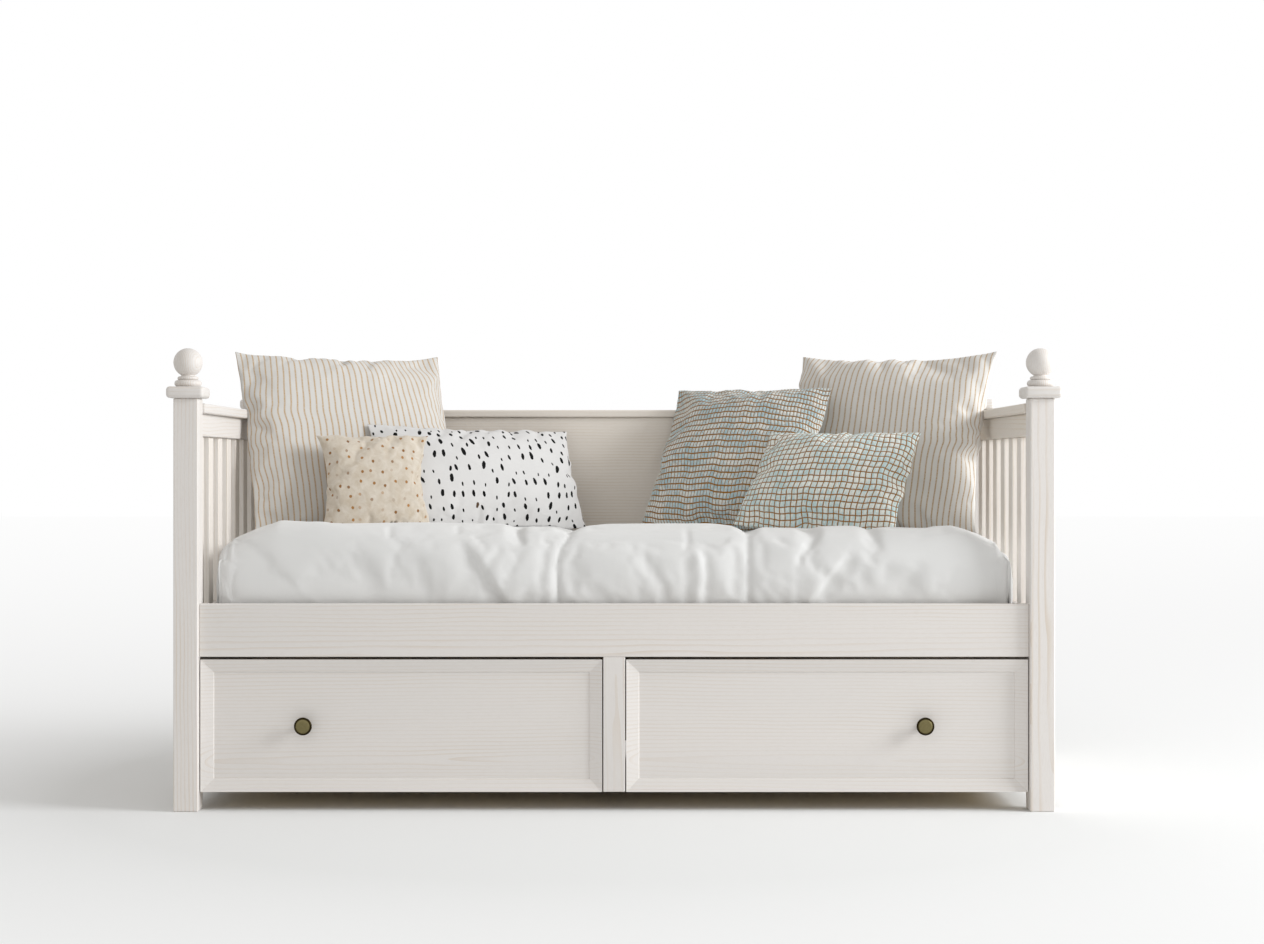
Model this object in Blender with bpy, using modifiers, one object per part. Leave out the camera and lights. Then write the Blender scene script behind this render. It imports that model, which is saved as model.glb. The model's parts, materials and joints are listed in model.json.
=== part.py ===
"""Storage daybed: a wooden day bed with two drawers, a mattress, a duvet and six loose cushions.

Metres, +Z up. The origin is on the floor at the middle of the footprint, +X is the viewer's right and
the front faces -Y. Each sub-part is one object; the drawers hang on empties that lie on their slides.
"""

import math

import bmesh
import bpy
from mathutils import Matrix, Vector
from mathutils.bvhtree import BVHTree

# Driving sizes: the mattress and the room that the frame leaves round it
MATTRESS_LENGTH = 1.880
MATTRESS_WIDTH = 0.880
MATTRESS_HEIGHT = 0.165
MATTRESS_EDGE = 0.040
END_ROOM = 0.0325
SIDE_ROOM = 0.0185
BED_SINK = 0.053

# Clearances: between pieces that touch, between moving pieces, and how far a cutter runs past its work
JOINT_GAP = 0.0003
RUNNING_GAP = 0.001
OVERRUN = 0.010

# Corner posts with their caps and finials
POST_WIDTH = 0.058
POST_HEIGHT = 0.967
POST_EDGE = 0.0025
CAP_OVERHANG = 0.015
CAP_HEIGHT = 0.027
CAP_EDGE = 0.0085
BEAD_DIAMETER = 0.063
BEAD_HEIGHT = 0.0105
RING_DIAMETER = 0.046
RING_HEIGHT = 0.0065
NECK_DIAMETER = 0.036
NECK_HEIGHT = 0.008
BALL_DIAMETER = 0.067
FINIAL_SEAT = 0.004

# Front: rail, stile and drawer fronts
FLOOR_ROOM = 0.0445
FRONT_SETBACK = 0.015
FRONT_RAIL_HEIGHT = 0.124
FRONT_RAIL_THICKNESS = 0.030
STILE_WIDTH = 0.0515
DRAWER_HEIGHT = 0.310
DRAWER_REVEAL = 0.0025
DRAWER_TOP_REVEAL = 0.0065
BOARD_EDGE = 0.0015

# Ends: cap rail, top rail, slats and lower panel
SIDE_CAP_DROP = 0.0105
SIDE_CAP_HEIGHT = 0.0230
SIDE_CAP_WIDTH = 0.070
SIDE_RAIL_HEIGHT = 0.0535
SIDE_RAIL_THICKNESS = 0.036
SIDE_SLAT_COUNT = 7
SIDE_SLAT_WIDTH = 0.052
SIDE_SLAT_THICKNESS = 0.016
LOWER_PANEL_DROP = 0.015
LOWER_PANEL_THICKNESS = 0.022
RAIL_EDGE = 0.004

# Back
BACK_SETBACK = 0.016
BACK_THICKNESS = 0.022
BACK_CAP_DROP = 0.002
BACK_CAP_HEIGHT = 0.0205
BACK_CAP_OVERHANG = 0.010

# Bed base
BASE_SLAT_COUNT = 12
BASE_SLAT_WIDTH = 0.075
BASE_SLAT_THICKNESS = 0.018
LEDGER_HEIGHT = 0.030
LEDGER_WIDTH = 0.028
PARTITION_THICKNESS = 0.022

# Drawers
DRAWER_FRONT_THICKNESS = 0.024
BORDER_WIDTH = 0.029
BORDER_DEPTH = 0.009
STEP_WIDTH = 0.0015
STEP_DEPTH = 0.0025
BOX_DEPTH = 0.760
BOX_RISE = 0.018
BOX_SIDE_HEIGHT = 0.220
BOX_SIDE_THICKNESS = 0.016
BOX_SIDE_INSET = 0.004
BOX_BACK_THICKNESS = 0.014
BOX_BOTTOM_THICKNESS = 0.010
RUNNER_HEIGHT = 0.022
GROOVE_DEPTH = 0.009
KNOB_OFFSET = 0.2285
KNOB_DIAMETER = 0.042
KNOB_HEAD_THICKNESS = 0.009
KNOB_RIM = 0.0035
KNOB_NECK_DIAMETER = 0.014
KNOB_BASE_DIAMETER = 0.022
KNOB_BASE_THICKNESS = 0.003
KNOB_LENGTH = 0.029
KNOB_STUD_DIAMETER = 0.005
KNOB_HOLE_GAP = 0.0004

# Duvet: its wall beside the mattress, its height over it and its sewn channels
DUVET_WALL = 0.011
DUVET_HEIGHT = 0.038
DUVET_CREST = 0.052
DUVET_HEM_DROP = 0.030
DUVET_SHOULDER = 0.012
DUVET_END_FALL = 0.0375
DUVET_END_EDGE = 0.038
DUVET_SIDE_EDGE = 0.0225
DUVET_END_CORNER = 0.086
DUVET_SIDE_CORNER = 0.050
DUVET_CHANNEL_DEPTH = 0.014
DUVET_FOLD_DEPTH = 0.006
DUVET_COLUMN_SHARES = (
    -0.828, -0.633, -0.449, -0.283, -0.219, -0.163, -0.109,
    0.046, 0.207, 0.322, 0.381, 0.437, 0.564, 0.690, 0.840,
)
DUVET_ROW_SHARES = (-0.715, 0.240)
DUVET_CREST_SHARES = (0.56, 0.74)
DUVET_LEVEL_SHARE = 0.55
CHANNEL_COLUMNS = (7, 12)
FOLD_COLUMNS = (5, 14)

# Cushions: how thin the seam is, how far the sides and the top are drawn in, and how low the filling hangs
SEAM_THICKNESS = 0.006
SIDE_DRAW_SHARE = 0.060
TOP_DRAW_SHARE = 0.055
EAR_SHARE = 0.075
FILL_POWER = 0.55
SAG_SHARE = 0.12
CUSHION_COLUMNS = 8
CUSHION_ROWS = 6
START_LIFT = 0.060
SLIDE_LIFT = 0.004
SEARCH_STEP = 0.008
SEARCH_REACH = 0.600
# name: width, height, thickness
CUSHION_SIZES = {
    "striped_cushion_left": (0.575, 0.498, 0.150),
    "striped_cushion_right": (0.563, 0.488, 0.150),
    "dash_cushion": (0.588, 0.300, 0.110),
    "cream_cushion": (0.298, 0.257, 0.085),
    "grid_cushion_square": (0.475, 0.430, 0.120),
    "grid_cushion_long": (0.440, 0.288, 0.105),
}
# name: share of half the bed's length, share of half its width, then lean back, roll and yaw in degrees
CUSHION_PLACES = {
    "striped_cushion_left": ((-0.740, 0.42), (20.0, 0.0, 27.0)),
    "striped_cushion_right": ((0.757, 0.50), (16.0, 0.0, -30.0)),
    "dash_cushion": ((-0.255, -0.05), (28.0, 1.5, 27.0)),
    "cream_cushion": ((-0.603, -0.40), (20.0, 0.0, 15.0)),
    "grid_cushion_square": ((0.180, 0.00), (30.0, 0.0, -30.0)),
    "grid_cushion_long": ((0.500, -0.30), (33.0, 0.0, -31.0)),
}

# Finishes: sRGB colour, roughness and metallic value
FINISHES = {
    "stained_pine": ("E0DBD5", 0.55, 0.0),
    "raw_pine": ("D9C6A5", 0.65, 0.0),
    "aged_brass": ("7A7048", 0.35, 1.0),
    "white_cotton": ("E6E6E4", 0.85, 0.0),
    "mattress_ticking": ("DEDEDA", 0.85, 0.0),
    "striped_cotton": ("D9D1C4", 0.85, 0.0),
    "dashed_cotton": ("E4E2DF", 0.85, 0.0),
    "dotted_linen": ("DDD0B4", 0.85, 0.0),
    "woven_grid": ("B9BBB0", 0.85, 0.0),
}
CUSHION_FINISHES = {
    "striped_cushion_left": "striped_cotton",
    "striped_cushion_right": "striped_cotton",
    "dash_cushion": "dashed_cotton",
    "cream_cushion": "dotted_linen",
    "grid_cushion_square": "woven_grid",
    "grid_cushion_long": "woven_grid",
}

# Round pieces
ROUND_STEPS = 24
BALL_ARC_POINTS = 11
SMALL_ARC_POINTS = 4
SMOOTH_ANGLE = math.radians(40)

# Worked out: the frame's inner and outer planes
INNER_HALF_LENGTH = MATTRESS_LENGTH / 2 + END_ROOM
FRAME_DEPTH = (
    FRONT_SETBACK + FRONT_RAIL_THICKNESS + MATTRESS_WIDTH + 2 * SIDE_ROOM + BACK_THICKNESS + BACK_SETBACK
)
HALF_DEPTH = FRAME_DEPTH / 2
RAIL_FRONT = -HALF_DEPTH + FRONT_SETBACK
RAIL_BACK = RAIL_FRONT + FRONT_RAIL_THICKNESS
BACK_FACE = HALF_DEPTH - BACK_SETBACK
BACK_FRONT = BACK_FACE - BACK_THICKNESS
BED_MIDDLE = (RAIL_BACK + BACK_FRONT) / 2
DRAWER_TOP = FLOOR_ROOM + DRAWER_HEIGHT
RAIL_BOTTOM = DRAWER_TOP + DRAWER_TOP_REVEAL
RAIL_TOP = RAIL_BOTTOM + FRONT_RAIL_HEIGHT
BASE_TOP = RAIL_TOP - BED_SINK
MATTRESS_BOTTOM = BASE_TOP + JOINT_GAP
MATTRESS_TOP = MATTRESS_BOTTOM + MATTRESS_HEIGHT
LEDGER_TOP = BASE_TOP - BASE_SLAT_THICKNESS
LEDGER_BOTTOM = LEDGER_TOP - LEDGER_HEIGHT
END_X = INNER_HALF_LENGTH + POST_WIDTH / 2
LOWER_PANEL_TOP = RAIL_TOP - LOWER_PANEL_DROP
LOWER_PANEL_INNER = END_X - LOWER_PANEL_THICKNESS / 2
SIDE_CAP_TOP = POST_HEIGHT - SIDE_CAP_DROP
SIDE_CAP_BOTTOM = SIDE_CAP_TOP - SIDE_CAP_HEIGHT
SIDE_RAIL_TOP = SIDE_CAP_BOTTOM - JOINT_GAP
SIDE_RAIL_BOTTOM = SIDE_RAIL_TOP - SIDE_RAIL_HEIGHT
POST_SPACE = FRAME_DEPTH - 2 * POST_WIDTH
BACK_CAP_TOP = POST_HEIGHT - BACK_CAP_DROP
BACK_CAP_BOTTOM = BACK_CAP_TOP - BACK_CAP_HEIGHT
BOX_BOTTOM = FLOOR_ROOM + BOX_RISE
BOX_TOP = BOX_BOTTOM + BOX_SIDE_HEIGHT
RUNNER_MIDDLE = (BOX_BOTTOM + BOX_TOP) / 2
BOX_FRONT = RAIL_FRONT + DRAWER_FRONT_THICKNESS + JOINT_GAP
BOX_BACK = BOX_FRONT + BOX_DEPTH
DRAWER_INNER_X = STILE_WIDTH / 2 + DRAWER_REVEAL
DRAWER_OUTER_X = INNER_HALF_LENGTH - DRAWER_REVEAL
PANEL_FACE = RAIL_FRONT + BORDER_DEPTH + STEP_DEPTH
KNOB_LEVEL = FLOOR_ROOM + DRAWER_HEIGHT / 2


def clear_scene():
    for old in list(bpy.data.objects):
        bpy.data.objects.remove(old, do_unlink=True)


def new_collection(name):
    group = bpy.data.collections.new(name)
    bpy.context.scene.collection.children.link(group)
    return group


def linear(hex_colour):
    """A linear colour from an sRGB hex string."""
    channels = [int(hex_colour[i : i + 2], 16) / 255 for i in (0, 2, 4)]
    straight = [c / 12.92 if c <= 0.04045 else ((c + 0.055) / 1.055) ** 2.4 for c in channels]
    return (*straight, 1.0)


def new_material(name, hex_colour, roughness, metallic=0.0):
    made = bpy.data.materials.new(name)
    made.use_nodes = True
    shader = made.node_tree.nodes["Principled BSDF"]
    shader.inputs["Base Color"].default_value = linear(hex_colour)
    shader.inputs["Roughness"].default_value = roughness
    shader.inputs["Metallic"].default_value = metallic
    return made


def finish_colour(name, finish):
    """Each part gets its own material, in the colour of its finish."""
    hex_colour, roughness, metallic = FINISHES[finish]
    return new_material(name, hex_colour, roughness, metallic)


def new_object(name, mesh, finish, place=(0, 0, 0)):
    thing = bpy.data.objects.new(name, mesh)
    thing.location = place
    mesh.materials.append(finish_colour(name, finish))
    parts.objects.link(thing)
    return thing


def box_mesh(name, size):
    """A box round its own middle, with its size in its mesh."""
    mesh = bpy.data.meshes.new(name)
    shape = bmesh.new()
    bmesh.ops.create_cube(shape, size=1.0)
    bmesh.ops.scale(shape, vec=size, verts=shape.verts)
    shape.to_mesh(mesh)
    shape.free()
    return mesh


def add_bevel(thing, width, segments=1):
    bevel = thing.modifiers.new("eased_edges", "BEVEL")
    bevel.width = width
    bevel.segments = segments
    bevel.limit_method = "ANGLE"
    return bevel


def board(name, low, high, finish="stained_pine", edge=BOARD_EDGE, segments=1):
    """A board between two corners, with eased edges."""
    low, high = Vector(low), Vector(high)
    thing = new_object(name, box_mesh(name, high - low), finish, (low + high) / 2)
    add_bevel(thing, edge, segments)
    return thing


def make_cutter(name, mesh, place):
    thing = bpy.data.objects.new(name, mesh)
    thing.location = place
    thing.hide_render = True
    thing.display_type = "WIRE"
    cutters.objects.link(thing)
    return thing


def box_cutter(name, low, high):
    low, high = Vector(low), Vector(high)
    return make_cutter(name, box_mesh(name, high - low), (low + high) / 2)


def combine(thing, other, operation="DIFFERENCE"):
    joint = thing.modifiers.new(other.name, "BOOLEAN")
    joint.object = other
    joint.operation = operation
    joint.solver = "EXACT"


def smooth(mesh):
    mesh.shade_smooth()
    mesh.set_sharp_from_angle(angle=SMOOTH_ANGLE)


def arc(centre, radius, start, end, count):
    """Points along an arc in the radius-height plane, angles in degrees from +X."""
    turns = [math.radians(start + (end - start) * i / (count - 1)) for i in range(count)]
    return [(centre[0] + radius * math.cos(t), centre[1] + radius * math.sin(t)) for t in turns]


def turned_mesh(name, profile):
    """A profile of (radius, height) points, from its top down, turned once round Z."""
    mesh = bpy.data.meshes.new(name)
    points = [(radius, 0, height) for radius, height in profile]
    mesh.from_pydata(points, [(i, i + 1) for i in range(len(points) - 1)], [])
    thing = bpy.data.objects.new(name, mesh)
    cutters.objects.link(thing)
    screw = thing.modifiers.new("turned", "SCREW")
    screw.steps = ROUND_STEPS
    screw.render_steps = ROUND_STEPS
    screw.use_merge_vertices = True
    screw.merge_threshold = JOINT_GAP / 10
    bpy.context.view_layer.update()
    graph = bpy.context.evaluated_depsgraph_get()
    solid = bpy.data.meshes.new_from_object(thing.evaluated_get(graph))
    solid.name = name
    bpy.data.objects.remove(thing)
    bpy.data.meshes.remove(mesh)
    smooth(solid)
    return solid


def finial_profile():
    """The ball, its neck, a thin ring and a round bead, from the top down to inside the cap."""
    seat_radius = BEAD_DIAMETER / 2
    ball_radius = BALL_DIAMETER / 2
    neck_radius = NECK_DIAMETER / 2
    bead_top = CAP_HEIGHT + BEAD_HEIGHT
    ring_top = bead_top + RING_HEIGHT
    touch = math.degrees(math.acos(neck_radius / ball_radius))
    ball_middle = ring_top + NECK_HEIGHT + ball_radius * math.sin(math.radians(touch))
    ball = arc((0, ball_middle), ball_radius, 90, -touch, BALL_ARC_POINTS)
    ring = arc((RING_DIAMETER / 2 - RING_HEIGHT / 2, bead_top + RING_HEIGHT / 2), RING_HEIGHT / 2, 90, -90,
               SMALL_ARC_POINTS)
    bead = arc((seat_radius - BEAD_HEIGHT / 2, CAP_HEIGHT + BEAD_HEIGHT / 2), BEAD_HEIGHT / 2, 90, -90,
               SMALL_ARC_POINTS)
    ball[0] = (0, ball_middle + ball_radius)
    foot = CAP_HEIGHT - FINIAL_SEAT
    return [*ball, (neck_radius, ring_top), *ring, *bead, (bead[-1][0], foot), (0, foot)]


def corner_posts():
    for end, x_side in (("left", -1), ("right", 1)):
        for face, y_side in (("front", -1), ("back", 1)):
            middle_x = x_side * END_X
            middle_y = y_side * (HALF_DEPTH - POST_WIDTH / 2)
            half = Vector((POST_WIDTH / 2, POST_WIDTH / 2, 0))
            foot = Vector((middle_x, middle_y, 0))
            top = Vector((middle_x, middle_y, POST_HEIGHT))
            board(f"post_{face}_{end}", foot - half, top + half, edge=POST_EDGE)
            newel_cap(f"newel_cap_{face}_{end}", (middle_x, middle_y, POST_HEIGHT + JOINT_GAP))


def newel_cap(name, place):
    """A square board with round edges and the ball finial in one piece with it."""
    width = POST_WIDTH + 2 * CAP_OVERHANG
    mesh = box_mesh(name, (width, width, CAP_HEIGHT))
    mesh.transform(Matrix.Translation((0, 0, CAP_HEIGHT / 2)))
    thing = new_object(name, mesh, "stained_pine", place)
    add_bevel(thing, CAP_EDGE, segments=3)
    finial = make_cutter(name + "_finial", turned_mesh(name + "_finial", finial_profile()), place)
    combine(thing, finial, "UNION")


def end_frames():
    """Each end: a lower panel, seven upright slats, a top rail and a cap rail between its two posts."""
    front = -POST_SPACE / 2 + JOINT_GAP
    back = POST_SPACE / 2 - JOINT_GAP
    for end, side in (("left", -1), ("right", 1)):
        middle = side * END_X

        def across(thickness):
            return middle - thickness / 2, middle + thickness / 2

        low_x, high_x = across(LOWER_PANEL_THICKNESS)
        board(f"side_lower_panel_{end}", (low_x, front, FLOOR_ROOM), (high_x, back, LOWER_PANEL_TOP))
        low_x, high_x = across(SIDE_RAIL_THICKNESS)
        board(f"side_top_rail_{end}", (low_x, front, SIDE_RAIL_BOTTOM), (high_x, back, SIDE_RAIL_TOP))
        low_x, high_x = across(SIDE_CAP_WIDTH)
        board(f"side_cap_rail_{end}", (low_x, front, SIDE_CAP_BOTTOM), (high_x, back, SIDE_CAP_TOP),
              edge=RAIL_EDGE, segments=2)
        low_x, high_x = across(SIDE_SLAT_THICKNESS)
        gap = (POST_SPACE - SIDE_SLAT_COUNT * SIDE_SLAT_WIDTH) / (SIDE_SLAT_COUNT + 1)
        for index in range(SIDE_SLAT_COUNT):
            start = -POST_SPACE / 2 + gap + index * (gap + SIDE_SLAT_WIDTH)
            low = (low_x, start, LOWER_PANEL_TOP + JOINT_GAP)
            high = (high_x, start + SIDE_SLAT_WIDTH, SIDE_RAIL_BOTTOM - JOINT_GAP)
            board(f"side_slat_{end}_{index + 1}", low, high)


def back_frame():
    """The boarded back: a lower and an upper panel, and a cap rail that overhangs the upper one."""
    reach = INNER_HALF_LENGTH - JOINT_GAP
    board("back_lower_panel", (-reach, BACK_FRONT, FLOOR_ROOM), (reach, BACK_FACE, RAIL_TOP))
    board("back_upper_panel", (-reach, BACK_FRONT, RAIL_TOP + JOINT_GAP),
          (reach, BACK_FACE, BACK_CAP_BOTTOM - JOINT_GAP))
    board("back_cap_rail", (-reach, BACK_FRONT - BACK_CAP_OVERHANG, BACK_CAP_BOTTOM),
          (reach, BACK_FACE + BACK_CAP_OVERHANG, BACK_CAP_TOP), edge=RAIL_EDGE, segments=2)


def front_frame():
    """The long front rail, the stile under its middle and the partition behind the stile."""
    reach = INNER_HALF_LENGTH - JOINT_GAP
    board("front_rail", (-reach, RAIL_FRONT, RAIL_BOTTOM), (reach, RAIL_BACK, RAIL_TOP))
    board("centre_stile", (-STILE_WIDTH / 2, RAIL_FRONT, FLOOR_ROOM),
          (STILE_WIDTH / 2, RAIL_BACK, RAIL_BOTTOM - JOINT_GAP))
    board("centre_partition", (-PARTITION_THICKNESS / 2, RAIL_BACK + JOINT_GAP, FLOOR_ROOM),
          (PARTITION_THICKNESS / 2, BACK_FRONT - JOINT_GAP, LEDGER_BOTTOM - JOINT_GAP), "raw_pine")


def bed_base():
    """Two ledgers along the front rail and the back panel, joined by slats that run across them."""
    reach = INNER_HALF_LENGTH - JOINT_GAP
    front = RAIL_BACK + JOINT_GAP
    back = BACK_FRONT - JOINT_GAP
    low = (-reach, front, LEDGER_BOTTOM)
    high = (reach, front + LEDGER_WIDTH, LEDGER_TOP)
    base = new_object("slatted_base", box_mesh("slatted_base", Vector(high) - Vector(low)), "raw_pine",
                      (Vector(low) + Vector(high)) / 2)
    rear = box_cutter("rear_ledger", (-reach, back - LEDGER_WIDTH, LEDGER_BOTTOM), (reach, back, LEDGER_TOP))
    slats = []
    gap = (2 * reach - BASE_SLAT_COUNT * BASE_SLAT_WIDTH) / (BASE_SLAT_COUNT + 1)
    overlap = LEDGER_HEIGHT / 2
    for index in range(BASE_SLAT_COUNT):
        start = -reach + gap + index * (gap + BASE_SLAT_WIDTH)
        slats.append(box_cutter(f"base_slat_{index + 1}", (start, front, LEDGER_TOP - overlap),
                                (start + BASE_SLAT_WIDTH, back, BASE_TOP)))
    for piece in [*slats, rear]:
        combine(base, piece, "UNION")


def runners():
    """Wooden runners on the lower side panels and on the partition, which fill the drawers' grooves."""
    low_z = RUNNER_MIDDLE - RUNNER_HEIGHT / 2
    high_z = RUNNER_MIDDLE + RUNNER_HEIGHT / 2
    front = -POST_SPACE / 2 + JOINT_GAP
    back = POST_SPACE / 2 - JOINT_GAP
    outer_tip = DRAWER_OUTER_X - BOX_SIDE_INSET - GROOVE_DEPTH + RUNNING_GAP
    inner_tip = DRAWER_INNER_X + BOX_SIDE_INSET + GROOVE_DEPTH - RUNNING_GAP
    for end, side in (("left", -1), ("right", 1)):
        spans = {
            "outer": (outer_tip, LOWER_PANEL_INNER - JOINT_GAP),
            "inner": (PARTITION_THICKNESS / 2 + JOINT_GAP, inner_tip),
        }
        for place, (near, far) in spans.items():
            xs = sorted((side * near, side * far))
            board(f"{end}_drawer_{place}_runner", (xs[0], front, low_z), (xs[1], back, high_z), "raw_pine")


def knob_profile():
    """Knob along its axis: a flat face with a bevelled rim, a neck, a base disc and the stud behind it."""
    head = KNOB_DIAMETER / 2
    neck = KNOB_NECK_DIAMETER / 2
    base = KNOB_BASE_DIAMETER / 2
    stud = KNOB_STUD_DIAMETER / 2
    back_of_head = KNOB_LENGTH - KNOB_HEAD_THICKNESS
    stud_end = -(DRAWER_FRONT_THICKNESS - BORDER_DEPTH - STEP_DEPTH)
    return [
        (0, KNOB_LENGTH),
        (head - 2 * KNOB_RIM, KNOB_LENGTH),
        (head - KNOB_RIM, KNOB_LENGTH - KNOB_RIM / 3),
        (head, KNOB_LENGTH - KNOB_RIM),
        (head, back_of_head + KNOB_RIM / 3),
        (head - KNOB_RIM, back_of_head),
        (neck + KNOB_RIM, back_of_head - KNOB_RIM),
        (neck, back_of_head - 2 * KNOB_RIM),
        (neck, KNOB_BASE_THICKNESS + KNOB_RIM),
        (base, KNOB_BASE_THICKNESS),
        (base, JOINT_GAP),
        (stud, JOINT_GAP),
        (stud, stud_end),
        (0, stud_end),
    ]


def drawer_front(name, low, high, knob_x):
    """A board whose front slopes in from its edge to a sunk panel, bored for the knob's stud."""
    low, high = Vector(low), Vector(high)
    mesh = box_mesh(name, high - low)
    shape = bmesh.new()
    shape.from_mesh(mesh)
    face = min(shape.faces, key=lambda f: f.calc_center_median().y)
    bmesh.ops.inset_region(shape, faces=[face], thickness=BORDER_WIDTH, depth=-BORDER_DEPTH,
                           use_even_offset=True)
    bmesh.ops.inset_region(shape, faces=[face], thickness=STEP_WIDTH, depth=-STEP_DEPTH, use_even_offset=True)
    shape.to_mesh(mesh)
    shape.free()
    thing = new_object(name, mesh, "stained_pine", (low + high) / 2)
    hole = KNOB_STUD_DIAMETER / 2 + KNOB_HOLE_GAP
    depth = DRAWER_FRONT_THICKNESS + OVERRUN
    bore = turned_mesh(name + "_bore", [(0, depth), (hole, depth), (hole, -depth), (0, -depth)])
    bore.transform(Matrix.Rotation(math.radians(90), 4, "X"))
    combine(thing, make_cutter(name + "_bore", bore, (knob_x, low.y, KNOB_LEVEL)))
    return thing


def grooved_side(name, inner_x, outer_x, low_y, high_y):
    """A box side with the runner's groove along its outer face, which is at outer_x."""
    xs = sorted((inner_x, outer_x))
    thing = board(name, (xs[0], low_y, BOX_BOTTOM), (xs[1], high_y, BOX_TOP), "raw_pine")
    away = 1 if outer_x > inner_x else -1
    cut_xs = sorted((outer_x - away * GROOVE_DEPTH, outer_x + away * OVERRUN))
    low = (cut_xs[0], low_y - OVERRUN, RUNNER_MIDDLE - RUNNER_HEIGHT / 2 - RUNNING_GAP)
    high = (cut_xs[1], high_y + OVERRUN, RUNNER_MIDDLE + RUNNER_HEIGHT / 2 + JOINT_GAP)
    combine(thing, box_cutter(name + "_groove", low, high))
    return thing


def drawer(end, side):
    """A drawer: its front with the knob, and a box of two grooved sides, a back and a bottom."""
    inner = side * DRAWER_INNER_X
    outer = side * DRAWER_OUTER_X
    xs = sorted((inner, outer))
    knob_x = side * ((DRAWER_INNER_X + DRAWER_OUTER_X) / 2 + KNOB_OFFSET)
    front = drawer_front(f"{end}_drawer_front", (xs[0], RAIL_FRONT, FLOOR_ROOM),
                         (xs[1], RAIL_FRONT + DRAWER_FRONT_THICKNESS, DRAWER_TOP), knob_x)
    side_outer = [xs[0] + BOX_SIDE_INSET, xs[1] - BOX_SIDE_INSET]
    side_inner = [side_outer[0] + BOX_SIDE_THICKNESS, side_outer[1] - BOX_SIDE_THICKNESS]
    left = grooved_side(f"{end}_drawer_left_side", side_inner[0], side_outer[0], BOX_FRONT, BOX_BACK)
    right = grooved_side(f"{end}_drawer_right_side", side_inner[1], side_outer[1], BOX_FRONT, BOX_BACK)
    low_x = side_inner[0] + JOINT_GAP
    high_x = side_inner[1] - JOINT_GAP
    bottom_top = BOX_BOTTOM + BOX_BOTTOM_THICKNESS
    bottom = board(f"{end}_drawer_bottom", (low_x, BOX_FRONT, BOX_BOTTOM), (high_x, BOX_BACK, bottom_top),
                   "raw_pine")
    back = board(f"{end}_drawer_back", (low_x, BOX_BACK - BOX_BACK_THICKNESS, bottom_top + JOINT_GAP),
                 (high_x, BOX_BACK, BOX_TOP), "raw_pine")
    knob_mesh = turned_mesh(f"{end}_drawer_knob", knob_profile())
    knob_mesh.transform(Matrix.Rotation(math.radians(90), 4, "X"))
    knob = new_object(f"{end}_drawer_knob", knob_mesh, "aged_brass", (knob_x, PANEL_FACE, KNOB_LEVEL))
    slide = bpy.data.objects.new(f"{end}_drawer_slide", None)
    slide.location = ((inner + outer) / 2, RAIL_FRONT, RUNNER_MIDDLE)
    parts.objects.link(slide)
    for piece in (front, left, right, bottom, back, knob):
        piece.parent = slide
        piece.location -= slide.location


def mattress():
    half = Vector((MATTRESS_LENGTH / 2, MATTRESS_WIDTH / 2, 0))
    middle = Vector((0, BED_MIDDLE, 0))
    board("mattress", middle - half + Vector((0, 0, MATTRESS_BOTTOM)),
          middle + half + Vector((0, 0, MATTRESS_TOP)), "mattress_ticking", edge=MATTRESS_EDGE, segments=3)


def cage_lines(half, edge, corner, shares):
    """Where the duvet's cage lines lie along one side: the outer two keep their distance from the wall."""
    outer = half - edge
    inner = outer - corner
    return [-outer, -inner, *(inner * share for share in shares), inner, outer]


def duvet_height(end_share, column, row):
    """How high the duvet's top stands over the mattress at one point of its cage."""
    end_share = max(0.0, end_share - DUVET_LEVEL_SHARE) / (1 - DUVET_LEVEL_SHARE)
    rise = DUVET_HEIGHT - DUVET_END_FALL * end_share ** 2
    if row < len(DUVET_CREST_SHARES):
        rise += DUVET_CREST * DUVET_CREST_SHARES[row]
        if column in CHANNEL_COLUMNS:
            rise -= DUVET_CHANNEL_DEPTH
        if column in FOLD_COLUMNS:
            rise -= DUVET_FOLD_DEPTH
    return rise


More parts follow.
